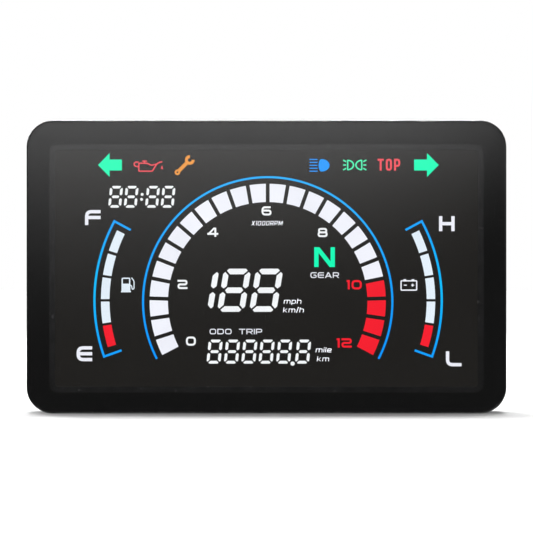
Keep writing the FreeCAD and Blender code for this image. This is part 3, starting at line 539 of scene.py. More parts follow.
def ribbon(path, width, closed=False):
    """A grid of two rows: the path moved half a width to each side along its normal."""
    path = np.asarray(path, float)
    keep = np.linalg.norm(path - np.roll(path, 1, axis=0), axis=1) > 1e-6
    keep[0] = keep[0] or not closed
    path = path[keep]
    out = np.roll(path, -1, axis=0) - path
    out /= np.linalg.norm(out, axis=1)[:, None]
    came = np.roll(out, 1, axis=0)
    if not closed:
        out[-1], came[0] = came[-1], out[0]
    middle = out + came
    middle /= np.linalg.norm(middle, axis=1)[:, None]
    widen = 1 / np.maximum((middle * out).sum(axis=1), 0.4)
    normal = np.stack([-middle[:, 1], middle[:, 0]], axis=1) * widen[:, None]
    sides = np.array([-0.5, 0.5]) * np.reshape(width, (-1, 1) if np.ndim(width) else (1, 1))
    return path[None] + normal[None] * sides.T[:, :, None], closed


def stretch_ends(path, by):
    """The path with both ends moved outwards along their own runs."""
    path = np.array(path, float)
    first, last = path[0] - path[1], path[-1] - path[-2]
    path[0] += first / np.linalg.norm(first) * by
    path[-1] += last / np.linalg.norm(last) * by
    return path


def quad(*corners):
    """A plate with four corners, given round its outline."""
    a, b, c, d = np.array(corners, float)
    return np.array([[a, b], [d, c]]), False


def arc(centre, radius, start, end, count=60):
    """Points on a circle from one angle to another, in degrees from straight up, clockwise."""
    turn = np.radians(np.linspace(start, end, count))
    return np.array(centre) + radius * np.stack([np.sin(turn), np.cos(turn)], axis=1)


# %% [markdown]
# ## The rev counter
# Twenty-four blocks stand on a circle, 500 rpm each, the last four red. Neighbours are a constant
# gap apart, so a block's sides are parallel to the line between it and its neighbour. The formula:
# at radius r a side lies at half the pitch minus the angle whose sine is half the gap over r. A
# block is a grid of radius by angle.

# %% Blocks on a circle
DIAL = np.array([0.40, -11.6])
BLOCK_PITCH = 9.81
BLOCK_COUNT = 24
RED_COUNT = 4


def block(centre, inner, outer, middle, pitch, gap):
    """A grid of radius by angle for one block of a ring of blocks."""
    radius = np.array([inner, outer])[:, None]
    share = np.linspace(-1, 1, 7)[None]
    half = np.radians(pitch / 2) - np.arcsin(gap / 2 / radius)
    turn = np.radians(middle) + share * half
    outward = np.stack([np.sin(turn), np.cos(turn)], axis=-1)
    return np.asarray(centre) + radius[..., None] * outward, False


def tachometer():
    """The ring of blocks, evenly turned about the dial's centre, and the arc outside it."""
    middles = (np.arange(BLOCK_COUNT) - (BLOCK_COUNT - 1) / 2) * BLOCK_PITCH
    ring = [block(DIAL, 33.25, 39.35, middle, BLOCK_PITCH, 1.27) for middle in middles]
    add_patches("tachometer_blocks", ring[:-RED_COUNT], "cool")
    add_patches("tachometer_red_blocks", ring[-RED_COUNT:], "red")
    add_patches("tachometer_arc", [ribbon(arc(DIAL, 41.55, -117.2, 117.2, 120), 0.7)], "arc_blue")


tachometer()
print("rev counter", BLOCK_COUNT, "blocks,", RED_COUNT, "red")

# %% [markdown]
# ## The fuel and temperature gauges
# Each is five blocks on a wide circle with a thin blue bracket outside them, whose ends turn in
# towards the circle's centre. The right gauge is the left one mirrored about the dial's own middle
# line, and only its lowest block is red on both.

# %% Side gauges
GAUGE = np.array([-1.65, -11.15])
MIRROR_LINE = 0.53
GAUGE_PITCH = 8.74
GAUGE_ANGLES = (22.0, 13.1, 4.4, -4.3, -13.0)


def mirrored(grids):
    """The grids reflected left to right about the line between the two gauges."""
    return [(np.stack([2 * MIRROR_LINE - grid[..., 0], grid[..., 1]], axis=-1), closed)
            for grid, closed in grids]


def side_gauges():
    """Five blocks and a bracket on a wide circle, then the same mirrored."""
    blocks = [block(GAUGE, 50.68, 53.53, -90 + angle, GAUGE_PITCH, 0.87) for angle in GAUGE_ANGLES]
    curve = arc(GAUGE, 55.7, -90 + 28.3, -90 - 19.6)
    inner = arc(GAUGE, 49.55, -90 + 28.3, -90 - 19.6, 2)
    bracket = [ribbon(np.concatenate([inner[:1], curve, inner[1:]]), 0.74)]
    for side, turn in (("fuel", list), ("temperature", mirrored)):
        add_patches(f"{side}_gauge_blocks", turn(blocks[:-1]), "pale")
        add_patches(f"{side}_gauge_reserve", turn(blocks[-1:]), "red")
        add_patches(f"{side}_gauge_bracket", turn(bracket), "edge_blue")


side_gauges()
print("side gauges", len(GAUGE_ANGLES), "blocks each")

# %% [markdown]
# ## Seven-segment digits
# The outer bars of a digit are mitred where they meet and clipped at the outside corner. The bars
# towards the middle end in a point. Each bar is a grid of four rows along it, from the outer edge
# to the inner edge, each with its own two ends. The whole digit is then slanted by moving each
# point sideways in proportion to its height.

# %% Digits
BAR_ROWS = (1.0, 0.3, 0.0, -1.0)


def bar(start, end, outward, half, starts, ends):
    """Four rows along a bar, outer edge to inner edge, each drawn in from both ends."""
    start, end, outward = (np.array(value, float) for value in (start, end, outward))
    along = (end - start) / np.linalg.norm(end - start)
    rows = [np.stack([start + along * near, end - along * far]) + outward * side * half
            for side, near, far in zip(BAR_ROWS, starts, ends)]
    return np.stack(rows), False


def digit(width, height, stroke, which="abcdefg"):
    """Bars of one digit about its own middle. The box is that of the bars' middle lines."""
    half = stroke / 2
    gap = max(0.33, 0.24 * stroke)
    left, right, low, high = -width / 2, width / 2, -height / 2, height / 2
    corner = (gap + 0.4 * half, gap - 0.3 * half, gap, gap + half)
    point = tuple(1.35 * gap + 0.8 * half * abs(row) for row in BAR_ROWS)
    bars = {
        "a": bar((left, high), (right, high), (0, 1), half, corner, corner),
        "b": bar((right, high), (right, 0), (1, 0), half, corner, point),
        "c": bar((right, low), (right, 0), (1, 0), half, corner, point),
        "d": bar((left, low), (right, low), (0, -1), half, corner, corner),
        "e": bar((left, low), (left, 0), (-1, 0), half, corner, point),
        "f": bar((left, high), (left, 0), (-1, 0), half, corner, point),
        "g": bar((left, 0), (right, 0), (0, 1), half, point, point),
    }
    return [bars[letter] for letter in which]


def placed(grids, centre, slant=0.0):
    """The grids slanted by an angle in degrees and moved to a centre."""
    lean = np.tan(np.radians(slant))
    moved = []
    for grid, closed in grids:
        moved.append((np.stack([grid[..., 0] + lean * grid[..., 1], grid[..., 1]], axis=-1)
                      + np.array(centre), closed))
    return moved


def disc(centre, radius):
    """A round dot: a fan of thin cells between its left and right halves."""
    height = np.sin(np.linspace(-1.45, 1.45, 13))
    reach = np.sqrt(1 - height ** 2)
    grid = np.stack([np.stack([-reach, height], axis=1), np.stack([reach, height], axis=1)])
    return grid * radius + np.array(centre), False


def digits():
    """Every digit of the speed, the distance and the clock, with the dots between them."""
    speed = placed(digit(7.24, 12.5, 1.86, "bc"), (-21.42, -7.75), 9.4)
    for across in (-10.8, -0.1):
        speed += placed(digit(7.24, 12.5, 1.86), (across, -7.75), 9.4)
    add_patches("speed_digits", speed, "white")
    trip = [disc((8.7, -32.2), 0.7)]
    for across in (-17.3, -11.5, -5.7, 0.05, 5.9, 12.2):
        trip += placed(digit(3.74, 7.05, 0.95), (across, -28.2), 5.9)
    add_patches("distance_digits", trip, "white")
    clock = [disc((-41.45, 24.2), 0.5), disc((-41.65, 22.55), 0.5)]
    for across in (-50.3, -45.1, -38.0, -32.8):
        clock += placed(digit(3.44, 6.4, 0.88), (across, 23.4), 5.65)
    add_patches("clock_digits", clock, "white")


digits()
print("digits, a full one has", len(digit(1.0, 1.0, 0.1)), "bars")

# %% [markdown]
# ## Legends
# The legends are a squared, wide drawing alphabet. A letter is a few strokes in a box that is one
# wide and one high: "r" is a line with round corners, "s" one with sharp corners, "o" a closed
# round line, and "d" a diagonal whose ends are cut level. A word is its letters side by side.

# %% The alphabet
LETTERS = {
    "0": (1.0, ["o 0,0 1,0 1,1 0,1"]),
    "1": (0.3, ["s 0,1 1,1 1,0"]),
    "2": (1.0, ["r 0,1 1,1 1,.5 0,.5 0,0 1,0"]),
    "4": (1.1, ["d .72,1 .03,.3", "s 0,.27 1,.27", "s .78,0 .78,.95"]),
    "6": (1.0, ["r .9,1 0,1 0,0 1,0 1,.55 0,.55"]),
    "8": (1.0, ["o 0,0 1,0 1,.52 0,.52", "o .05,.52 .95,.52 .95,1 .05,1"]),
    "A": (1.1, ["d 0,0 .5,1", "d 1,0 .5,1", "s .25,.28 .75,.28"]),
    "D": (1.0, ["r 0,0 1,0 1,1 0,1", "s 0,0 0,1"]),
    "E": (1.0, ["r 1,1 0,1 0,0 1,0", "s .1,.5 1,.5"]),
    "F": (1.0, ["r 1,1 0,1 0,0", "s .1,.5 1,.5"]),
    "G": (1.0, ["r 1,1 0,1 0,0 1,0 1,.5 .6,.5"]),
    "H": (1.0, ["s 0,0 0,1", "s 1,0 1,1", "s 0,.5 1,.5"]),
    "I": (0.0, ["s 0,0 0,1"]),
    "L": (1.0, ["r 0,1 0,0 1,0"]),
    "M": (1.2, ["s 0,0 0,1", "s 1,0 1,1", "d 0,1 .5,.2", "d 1,1 .5,.2"]),
    "N": (1.0, ["s 0,0 0,1", "s 1,0 1,1", "d 0.02,1 .98,0"]),
    "O": (1.0, ["o 0,0 1,0 1,1 0,1"]),
    "P": (1.0, ["r 0,.38 1,.38 1,1 0,1", "s 0,0 0,1"]),
    "R": (1.0, ["r 0,.4 1,.4 1,1 0,1", "s 0,0 0,1", "d .6,.4 1,0"]),
    "T": (1.0, ["s 0,1 1,1", "s .5,1 .5,0"]),
    "X": (1.0, ["d 0,0 1,1", "d 0,1 1,0"]),
    "e": (0.9, ["r 1,0 0,0 0,1 1,1 1,.5 0,.5"]),
    "h": (0.9, ["s 0,0 0,1.4", "r 0,1 1,1 1,0"]),
    "i": (0.0, ["s 0,0 0,.95", "s 0,1.4 0,1.42"]),
    "k": (0.9, ["s 0,0 0,1.4", "d .1,.45 .9,1", "d .25,.55 1,0"]),
    "l": (0.0, ["s 0,0 0,1.4"]),
    "m": (1.4, ["s 0,0 0,1", "r 0,1 1,1 1,0", "s .5,0 .5,1"]),
    "p": (0.9, ["s 0,-.4 0,1", "r 0,1 1,1 1,0 0,0"]),
    "/": (0.4, ["d 0,-.1 1,1.45"]),
}


def letter(strokes, width, height, stroke, radius):
    """Grids of a letter whose strokes' middle lines fill a box from (0, 0) to (width, height)."""
    grids = []
    for words in strokes:
        kind, *pairs = words.split()
        points = np.array([[float(value) for value in pair.split(",")] for pair in pairs])
        if kind == "d":
            reach = stroke * 0.62
            points = points * (width, height + stroke) - (0, stroke / 2)
            (x, z), (end_x, end_z) = points
            grids.append(quad((x - reach, z), (x + reach, z), (end_x + reach, end_z),
                              (end_x - reach, end_z)))
            continue
        points = points * (width, height)
        if kind == "r":
            points = round_corners(stretch_ends(points, stroke / 2), radius)
        elif kind == "o":
            points = round_corners(points, radius, closed=True)
        else:
            points = stretch_ends(points, stroke / 2)
        grids.append(ribbon(points, stroke, kind == "o"))
    return grids


def word(text, centre, height, wide, stroke, gap, slant=0.0, round_share=0.32):
    """A word about its centre: letters height high and wide across outside, gap apart."""
    inner_height = height - stroke
    radius = height * round_share
    grids, pen = [], 0.0
    for character in text:
        share, strokes = LETTERS[character]
        inner_width = max(wide * share - stroke, 0.0) if share else 0.0
        shape = letter(strokes, max(inner_width, 1e-9), inner_height, stroke, radius)
        grids += [(grid + (pen + stroke / 2, stroke / 2), closed) for grid, closed in shape]
        pen += inner_width + stroke + gap
    middle = ((pen - gap) / 2, height / 2)
    return placed([(grid - middle, closed) for grid, closed in grids], centre, slant)


# %% [markdown]
# ## Where the legends stand
# The numerals follow the dial inside its blocks. The words sit beside the digits that they name,
# with the letters at each end of the two side gauges.

# %% Legends
def numerals():
    """The dial's numerals, white up to 8 and red from 10."""
    white = [("0", -25.2, -24.7), ("2", -28.0, -5.8), ("4", -17.9, 11.6), ("6", 0.0, 18.7),
             ("8", 18.7, 11.5)]
    grids = [part for text, x, z in white for part in word(text, (x, z), 3.05, 3.3, 0.64, 0.6)]
    add_patches("dial_numerals", grids, "white")
    style = dict(height=3.1, wide=3.4, stroke=0.66, gap=0.6)
    red = word("10", (29.25, -5.9), **style) + word("12", (25.9, -25.3), **style)
    add_patches("dial_red_numerals", red, "red")


def words():
    """The legends beside the digits and the letters at the gauges' ends."""
    add_patches("distance_legends", word("ODO", (-15.3, -21.5), 1.82, 2.15, 0.31, 0.42)
                + word("TRIP", (-5.3, -21.5), 1.82, 2.1, 0.31, 0.37), "cool")
    add_patches("gear_legend", word("GEAR", (19.4, -2.7), 1.88, 2.05, 0.31, 0.37), "cool")
    add_patches("scale_legend", word("X1000RPM", (0.2, 14.6), 1.5, 1.05, 0.16, 0.34, 12), "fine")
    units = dict(height=1.25, wide=1.56, stroke=0.2, gap=0.4, slant=8)
    add_patches("unit_legends", word("mph", (8.7, -11.6), **units)
                + word("km/h", (9.0, -14.5), **units) + word("mile", (19.05, -27.8), **units)
                + word("km", (18.85, -30.8), **units), "fine")
    ends = dict(height=5.0, wide=5.2, stroke=1.1, gap=1.0, round_share=0.34)
    add_patches("gauge_letters", word("F", (-57.9, 16.5), **ends)
                + word("E", (-60.7, -28.9), **ends) + word("H", (60.1, 14.45), **ends)
                + word("L", (62.4, -30.6), **ends), "cool")
    add_patches("neutral_letter", word("N", (19.35, 3.3), 6.6, 6.9, 1.45, 1.0), "green")


numerals()
words()
print("legends from", len(LETTERS), "characters")

# %% [markdown]
# ## Telltales
# The warning lamps are small outline symbols that any rider knows: turn arrows, oil, service, main
# beam, position lamps, fuel and battery. Each is drawn from a handful of points, arcs and bars.

# %% Turn arrows and lamps
def turn_arrow(tip, base, tail, lift):
    """An arrow: a bar from tail to head, and a head that narrows to its tip."""
    shaft = quad((tail, lift - 1.83), (base, lift - 1.83), (base, lift + 1.83), (tail, lift + 1.83))
    head = quad((base, lift - 3.95), (tip, lift - 0.03), (tip, lift + 0.03), (base, lift + 3.95))
    return [shaft, head]


def half_disc(flat, curve, height, lift):
    """Points round a D: a straight side, and half an ellipse that bulges to the curve's side."""
    turn = np.linspace(-np.pi / 2, np.pi / 2, 24)
    across = flat + (curve - flat) * np.cos(turn)
    return np.stack([across, lift + height / 2 * np.sin(turn)], axis=1)


def main_beam():
    """Five level rays behind a lamp whose two outlines are half ellipses."""
    bulge = half_disc(18.3, 21.0, 4.2, 33.9)
    back = half_disc(18.3, 17.35, 4.2, 33.9)
    lamp = (np.stack([back[1:-1], bulge[1:-1]]), False)
    rays = [ribbon([(14.35, 33.9 + 0.98 * row), (17.0, 33.9 + 0.98 * row)], 0.34)
            for row in (-2, -1, 0, 1, 2)]
    return [lamp] + rays


def position_lamps():
    """Two lamps back to back, each a half ellipse in outline with three rays that fan out."""
    grids = []
    for side in (-1, 1):
        flat, curve = 29.4 + side * 2.35, 29.4 + side * 0.4
        outline = half_disc(flat, curve, 3.1, 34.0)
        grids.append(ribbon(round_corners(outline, 0.25, closed=True), 0.46, closed=True))
        for row, (near, far) in zip((-1, 0, 1), ((1.1, 1.65), (0, 0), (1.1, 1.65))):
            ray = [(29.4 + side * 2.85, 34.0 + row * near), (29.4 + side * 3.85, 34.0 + row * far)]
            grids.append(ribbon(ray, 0.44))
    return grids


add_patches("left_turn_lamp", turn_arrow(-56.1, -52.3, -48.2, 34.0), "green")
add_patches("right_turn_lamp", turn_arrow(57.4, 53.5, 49.2, 34.0), "green")
add_patches("main_beam_lamp", main_beam(), "beam_blue")
add_patches("position_lamp", position_lamps(), "lamp_green")
add_patches("top_gear_lamp",
            word("TOP", (40.8, 34.1), 3.95, 2.05, 0.66, 0.68, round_share=0.18), "soft_red")


# %% Oil, service, fuel and battery
def oil_can():
    """A can with a handle loop, a cap, a spout and a drop."""
    line = 0.42
    body = [(-42.55, 34.6), (-42.55, 31.95), (-38.05, 31.95), (-36.6, 34.3), (-38.4, 33.9),
            (-39.8, 34.6)]
    handle = [(-42.6, 34.95), (-43.75, 35.0), (-44.2, 34.3), (-43.85, 33.6), (-42.7, 33.45)]
    spout = [(-36.7, 34.25), (-35.6, 34.95), (-34.75, 35.05)]
    grids = [ribbon(round_corners(body, 0.3, closed=True), line, closed=True)]
    grids.append(ribbon(round_corners(handle, 0.4), line))
    grids.append(ribbon(round_corners(spout, 0.4), line))
    grids.append(ribbon([(-41.4, 35.3), (-39.9, 35.3)], line))
    grids.append(ribbon([(-40.65, 35.2), (-40.65, 34.7)], line))
    drop = half_disc(0, 1, 1.1, 33.2)
    taper = np.linspace(0.42, 0.06, len(drop))
    grids.append((np.stack([np.stack([-34.85 - taper, drop[:, 1]], axis=1),
                            np.stack([-34.85 + taper, drop[:, 1]], axis=1)]), False))
    return grids


def wrench():
    """A ring spanner end, a bar, and an open jaw, laid out flat and then turned to 45 degrees."""
    jaw = arc((2.65, 0), 1.12, 90 + 42, 90 + 318, 30)
    ring = arc((-3.15, 0), 0.62, 0, 345, 24)
    handle = [(-2.65, 0), (1.9, 0)]
    grids = [ribbon(jaw, 0.98), ribbon(ring, 0.62, closed=True), ribbon(handle, 1.2)]
    turn = np.array([[1, 1], [-1, 1]]) / np.sqrt(2)
    return [(grid @ turn + (-27.45, 33.8), closed) for grid, closed in grids]


def fuel_pump():
    """A pump with a window above its filled half, a hose on its right and a foot line."""
    case = [(-48.1, -8.05), (-48.1, -3.75), (-45.6, -3.75), (-45.6, -8.05)]
    hose = [(-45.0, -3.55), (-44.15, -4.7), (-44.15, -7.3), (-44.75, -7.45), (-45.0, -6.2),
            (-45.6, -5.9)]
    return [ribbon(round_corners(case, 0.3), 0.42), ribbon(round_corners(hose, 0.4), 0.34),
            quad((-48.1, -8.1), (-45.6, -8.1), (-45.6, -5.55), (-48.1, -5.55)),
            ribbon([(-48.5, -8.2), (-45.2, -8.2)], 0.45)]


def battery():
    """A case in outline with two terminals, a minus and a plus."""
    low, high, left, right = -7.7, -4.6, 44.85, 50.05
    case = [(left, low), (right, low), (right, high), (left, high)]
    grids = [ribbon(round_corners(case, 0.3, closed=True), 0.42, closed=True)]
    for terminal in (46.1, 48.8):
        grids.append(ribbon([(terminal - 0.45, -4.25), (terminal + 0.45, -4.25)], 0.4))
    grids.append(ribbon([(45.75, -6.05), (46.75, -6.05)], 0.34))
    grids.append(ribbon([(48.2, -6.05), (49.2, -6.05)], 0.34))
    grids.append(ribbon([(48.7, -6.55), (48.7, -5.55)], 0.34))
    return grids


add_patches("oil_lamp", oil_can(), "soft_red")
add_patches("service_lamp", wrench(), "orange")
add_patches("fuel_symbol", fuel_pump(), "pale")
add_patches("battery_symbol", battery(), "cool")

# %% [markdown]
# ## Turned shapes
# The studs and the pads are turned about an axis along Y. A profile of distance along the axis and
# radius is carried round a circle, and the radius may change with the angle. That one change cuts
# a thread when its phase advances a full turn for each pitch along the axis.

# %% Turning
def turned(centre, depth, radius, around, ring=False):
    """Points and faces of a surface of revolution about Y.

    depth and radius are arrays of profile step by angle: x and z are the centre plus radius times
    (cos, sin) of the angle. A ring's profile closes on itself.
    """
    turn = np.linspace(0, 2 * np.pi, around, endpoint=False)
    radius = np.broadcast_to(radius, (len(radius), around))
    depth = np.broadcast_to(depth, (len(depth), around))
    x, z = centre
    points = np.stack([x + radius * np.cos(turn), depth, z + radius * np.sin(turn)], axis=-1) * MM
    faces = grid_faces(len(radius), around, wrap_rows=ring, wrap_columns=True)
    return points.reshape(-1, 3), [tuple(face) for face in faces]


def closed_turning(centre, depth, radius, around):
    """A turned solid whose profile starts and ends at a tiny radius, closed there by two caps."""
    points, faces = turned(centre, depth, radius, around)
    last = len(points) - around
    caps = [tuple(range(around)), tuple(range(last + around - 1, last - 1, -1))]
    return points, faces + caps


# %% [markdown]
# ## Threaded studs
# The studs are M6 with a 1 mm pitch. The thread's formula: the radius falls from the crest by the
# thread's depth times a triangle wave of (distance along the stud / pitch minus angle / full turn).
# It fades out at the shoulder, which stops at the seat plane, and at the pointed tip.

# %% Studs
THREAD_PITCH = 1.0
THREAD_DEPTH = 0.55
CREST_RADIUS = 3.0
HEAD_RADIUS = 5.0
HEAD_THICK = 2.4
seat_low, seat_high = (np.array(corner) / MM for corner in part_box("mounting_studs"))
stud_reach = seat_high[1]
stud_across = seat_high[0] - HEAD_RADIUS
stud_lift = seat_high[2] - HEAD_RADIUS
stud_places = [(x * stud_across, z * stud_lift) for x in (-1, 1) for z in (-1, 1)]


def stud(centre):
    """One stud: a flat head, a plain shoulder, and a thread that fades at both ends."""
    around, steps_per_pitch = 32, 8
    head_front, head_back = seat_low[1], seat_low[1] + HEAD_THICK
    start, end = 0.01, stud_reach - 0.05
    along = np.linspace(start, end, int((end - start) / THREAD_PITCH * steps_per_pitch))[:, None]
    turn = np.linspace(0, 1, around, endpoint=False)[None]
    phase = (along / THREAD_PITCH - turn) % 1.0
    wave = np.clip(np.abs(2 * phase - 1) * 1.25 - 0.12, 0, 1)
    fade = np.clip((along - start - 0.3) / 0.8, 0, 1) * np.clip((end - along) / 0.6, 0, 1)
    crest = CREST_RADIUS - 0.8 * (1 - (end - along) / 0.7).clip(0, 1)
    thread = crest - THREAD_DEPTH * wave * fade
    lead_depth = np.array([head_front, head_front, head_front + 0.3, head_back - 0.3, head_back,
                           head_back + 0.01, -0.2, 0.0])[:, None]
    lead_radius = np.array([0.4, 4.6, 4.95, 4.95, 4.6, 3.28, 3.28, 3.05])[:, None]
    tail_depth = np.array([end + 0.02, end + 0.03])[:, None]
    tail_radius = np.array([1.9, 0.4])[:, None]
    depth = np.concatenate([np.broadcast_to(part, (len(part), around))
                            for part in (lead_depth, along, tail_depth)])
    radius = np.concatenate([np.broadcast_to(part, (len(part), around))
                             for part in (lead_radius, thread, tail_radius)])
    return closed_turning(centre, depth, radius, around)


threaded_studs = add_piece("threaded_studs", *joined([stud(place) for place in stud_places]),
                           finishes["zinc_steel"], "zinc_steel", smooth=True)
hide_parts("mounting_studs")
print("stud pattern", 2 * stud_across, "x", 2 * stud_lift, "mm")

# %% [markdown]
# ## Rubber isolator pads
# Each pad is a thick washer that bulges a little, with two grooves round it that let it give. Its
# profile is a closed loop, so it is turned as a ring with no caps: up the hole, out along one face,
# down the grooved side and back along the other face.

# %% Pads
PAD_RADIUS = 7.6
PAD_HOLE = 3.6
GROOVE_DEPTH = 0.55
pad_low, pad_high = (np.array(corner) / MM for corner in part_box("isolator_pads"))


def pad(centre):
    """One pad: a washer whose side falls in by a bell curve at each of its two grooves."""
    front, back = pad_low[1], pad_high[1]
    side = np.linspace(0, 1, 33)
    from_groove = (side[:, None] - np.array([0.33, 0.67])) / 0.07
    groove = GROOVE_DEPTH * np.exp(-from_groove ** 2).sum(axis=1)
    edge = 0.35 * (np.abs(2 * side - 1) ** 12)
    side_radius = PAD_RADIUS - groove - edge
    side_depth = front + (back - front) * side
    depth = np.concatenate([[back - 0.3, front + 0.3, front], side_depth, [back]])
    mouth = PAD_HOLE + 0.3
    radius = np.concatenate([[PAD_HOLE, PAD_HOLE, mouth], side_radius, [mouth]])
    return turned(centre, depth[:, None], radius[:, None], 64, ring=True)


rubber_pads = add_piece("rubber_pads", *joined([pad(place) for place in stud_places]),
                        finishes["pad_rubber"], "pad_rubber", smooth=True)
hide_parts("isolator_pads")
print("pads", round(pad_high[1] - pad_low[1], 2), "mm thick")

# %% [markdown]
# ## Return springs
# A coil of round wire stands between each switch and the inside of its cap. The centre line's
# formula: the angle grows evenly, and the height is the share of the turns minus a sine of it, so
# that the coils lie closer at both ends, as on a real spring. The wire is a circle carried along
# that line in the plane of its radius and the axis.

# %% Springs
SPRING_TURNS = 5
WIRE_RADIUS = 0.25
CLOSE_SHARE = 0.5


def coil(low, high):
    """Points and faces of a coil that fills the box between two corners, in millimetres."""
    steps, around = 150, 10
    centre_x, centre_z = (low[0] + high[0]) / 2, (low[2] + high[2]) / 2
    ring = (high[0] - low[0]) / 2 - WIRE_RADIUS
    share = np.linspace(0, 1, steps)[:, None]
    turn = 2 * np.pi * SPRING_TURNS * share
    climb = share - CLOSE_SHARE * np.sin(2 * np.pi * share) / (2 * np.pi)
    height = low[1] + WIRE_RADIUS + (high[1] - low[1] - 2 * WIRE_RADIUS) * climb
    wire = -np.linspace(0, 2 * np.pi, around, endpoint=False)[None]
    reach = ring + WIRE_RADIUS * np.cos(wire)
    points = np.stack([centre_x + reach * np.cos(turn), height + WIRE_RADIUS * np.sin(wire),
                       centre_z + reach * np.sin(turn)], axis=-1).reshape(-1, 3) * MM
    faces = [tuple(face) for face in grid_faces(steps, around, wrap_columns=True)]
    last = len(points) - around
    return points, faces + [tuple(range(around)), tuple(range(last + around - 1, last - 1, -1))]


def return_spring(button):
    """A button's coil, anchored at its switch; its length in millimetres is returned."""
    node = f"{button}_button_spring"
    low, high = (np.array(corner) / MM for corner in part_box(node))
    spring = add_piece(f"{button}_return_spring", *coil(low, high), finishes["spring_steel"],
                       "spring_steel", smooth=True)
    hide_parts(node)
    length = high[1] - low[1]
    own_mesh(spring)
    return length


print("springs", [round(return_spring(button), 2) for button in ("mode", "set")], "mm long")

# %% [markdown]
# ## Stage and light
# The floor is plain and so pale that it merges with the white behind. The lens is a mirror for the
# part of the studio just behind the camera, so a large graduated card hangs there, seen only in
# reflections. Its brightness is a power of the height on the card, with the level drawn down
# towards its right-hand end. A broad overhead lamp, a little behind the object, gives the thin
# shadow in front of it. Three soft lamps give the shells their edges from the sides and back.

# %% Floor, card and lamps
def stage_plane(name, corners, finish):
    """A flat sheet for the stage, with four corners."""
    mesh = bpy.data.meshes.new(name)
    mesh.from_pydata(corners, [], [(0, 1, 2, 3)])
    mesh.materials.append(finish)
    plane = bpy.data.objects.new(name, mesh)
    bpy.context.scene.collection.objects.link(plane)
    return plane


FLOOR_SIZE = 6.0
floor_finish = new_finish("floor", (0.93, 0.93, 0.93), Roughness=0.9, Specular_IOR_Level=0.0)
floor = stage_plane("floor", [(x * FLOOR_SIZE, y * FLOOR_SIZE, FLOOR_LEVEL)
                              for x, y in ((-1, -1), (1, -1), (1, 1), (-1, 1))], floor_finish)
floor.visible_glossy = False
floor.visible_transmission = False

CARD_DISTANCE = 1.5
CARD_SCALE = 1 + CARD_DISTANCE / CAMERA_DISTANCE
CARD_FOOT = 48.0
CARD_RANGE = 93.0
CARD_POWER = 3.1
CARD_BRIGHT = 0.91
CARD_LEAST = 0.08
CARD_MOST = 1.3
DROP_CUBE = 3.8e-5
DROP_TILT = 0.0041


def card_finish():
    """Light that falls off as a power of (height + foot - drop) / range, in face millimetres.

    The drop tilts the level lines down to the right: a share of the cube of the distance right of
    the middle, plus a share of that distance times the distance below the top.
    """
    finish = bpy.data.materials.new("graduated card")
    finish.use_nodes = True
    finish.node_tree.nodes.remove(finish.node_tree.nodes["Principled BSDF"])

    def calculate(operation, first, second):
        """A Math node's result for two values."""
        node = add_node(finish, "ShaderNodeMath", {0: first, 1: second}, operation=operation)
        return node.outputs[0]

    split = add_node(finish, "ShaderNodeSeparateXYZ", {"Vector": position(finish)})
    to_face = 1 / (MM * CARD_SCALE)
    across = calculate("MULTIPLY", split.outputs["X"], to_face)
    height = calculate("MULTIPLY", split.outputs["Z"], to_face)
    cube = calculate("POWER", calculate("MAXIMUM", across, 0.0), 3.0)
    right = calculate("MAXIMUM", calculate("ADD", across, 20.0), 0.0)
    tilt = calculate("MULTIPLY", right, calculate("SUBTRACT", 45.0, height))
    drop = calculate("ADD", calculate("MULTIPLY", cube, DROP_CUBE),
                     calculate("MULTIPLY", tilt, DROP_TILT))
    level = calculate("SUBTRACT", calculate("ADD", height, CARD_FOOT), drop)
    share = calculate("DIVIDE", calculate("MAXIMUM", level, 0.0), CARD_RANGE)
    light = calculate("MULTIPLY", calculate("POWER", share, CARD_POWER), CARD_BRIGHT)
    light = calculate("ADD", calculate("MINIMUM", light, CARD_MOST), CARD_LEAST)
    glowing = add_node(finish, "ShaderNodeEmission", {"Strength": light})
    output = finish.node_tree.nodes["Material Output"]
    finish.node_tree.links.new(glowing.outputs[0], output.inputs["Surface"])
    return finish


CARD_HALF = 0.55
card_y = FACE_FRONT - CARD_DISTANCE
card = stage_plane("card", [(-CARD_HALF, card_y, -CARD_HALF), (CARD_HALF, card_y, -CARD_HALF),
                            (CARD_HALF, card_y, CARD_HALF), (-CARD_HALF, card_y, CARD_HALF)],
                   card_finish())
for ray in ("camera", "diffuse", "shadow", "volume_scatter"):
    setattr(card, f"visible_{ray}", False)


def turn_lamp(name, data, place):
    """A lamp object at a place that looks at the origin."""
    lamp = bpy.data.objects.new(name, data)
    lamp.location = place
    lamp.rotation_euler = (-lamp.location).to_track_quat("-Z", "Y").to_euler()
    bpy.context.scene.collection.objects.link(lamp)


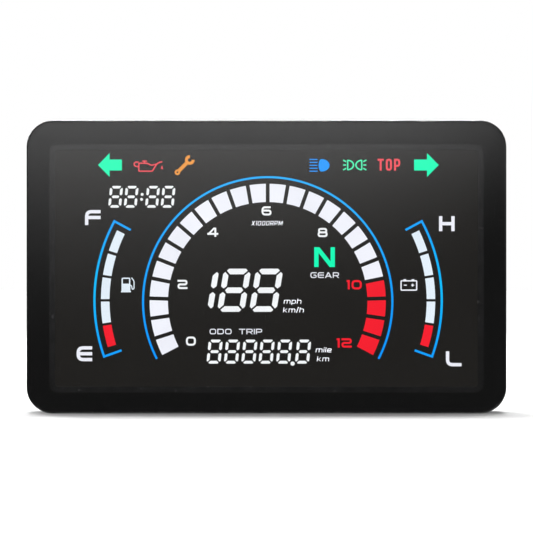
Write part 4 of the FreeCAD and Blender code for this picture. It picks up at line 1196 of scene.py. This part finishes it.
def soft_lamp(name, place, size, power):
    """A round lamp of a size in metres and a power in watts."""
    data = bpy.data.lights.new(name, "AREA")
    data.shape = "DISK"
    data.size = size
    data.energy = power
    turn_lamp(name, data, place)


SUN_TILT = np.radians(21.5)
overhead = bpy.data.lights.new("overhead", "SUN")
overhead.energy = 2.95
overhead.angle = np.radians(25)
turn_lamp("overhead", overhead, (0.0, np.sin(SUN_TILT), np.cos(SUN_TILT)))
soft_lamp("left", (-1.0, 0.3, 0.5), 0.5, 4.0)
soft_lamp("right", (1.0, 0.5, 0.4), 0.5, 3.0)
soft_lamp("back", (-0.6, 1.1, 0.6), 0.6, 9.0)
print("lamps", [light.name for light in bpy.data.lights])

# %% [markdown]
# ## The surroundings
# The world is white to the camera, so the background is clean. To reflections it is a plain studio
# instead: pale overhead and dark near the floor, which draws the edges of the glossy parts.

# %% World
world = bpy.data.worlds.new("studio")
bpy.context.scene.world = world
world.use_nodes = True
background = world.node_tree.nodes["Background"]
background.inputs["Color"].default_value = (1, 1, 1, 1)
background.inputs["Strength"].default_value = 1.0


class WorldTree:
    """Lets the node helpers work on the world as they do on a material."""
    node_tree = world.node_tree


paths = add_node(WorldTree, "ShaderNodeLightPath")
direction = add_node(WorldTree, "ShaderNodeTexCoord").outputs["Generated"]
upward = add_node(WorldTree, "ShaderNodeSeparateXYZ", {"Vector": direction}).outputs["Z"]
rise = spread(WorldTree, upward, 0, 1, -0.15, 0.9)
studio = blend_colours(WorldTree, rise, (0.04, 0.04, 0.04), (0.9, 0.9, 0.9))


def on_rays(test, usual, special):
    """The usual colour, but a special grey on the rays that the light path's test picks."""
    inputs = {"Factor": paths.outputs[test], 6: usual, 7: (special, special, special, 1)}
    return add_node(WorldTree, "ShaderNodeMix", inputs, data_type="RGBA").outputs[2]


lighting = on_rays("Is Diffuse Ray", studio, 0.33)
seen = on_rays("Is Camera Ray", lighting, 1.0)
world.node_tree.links.new(seen, background.inputs["Color"])
print("world", len(world.node_tree.nodes), "nodes")
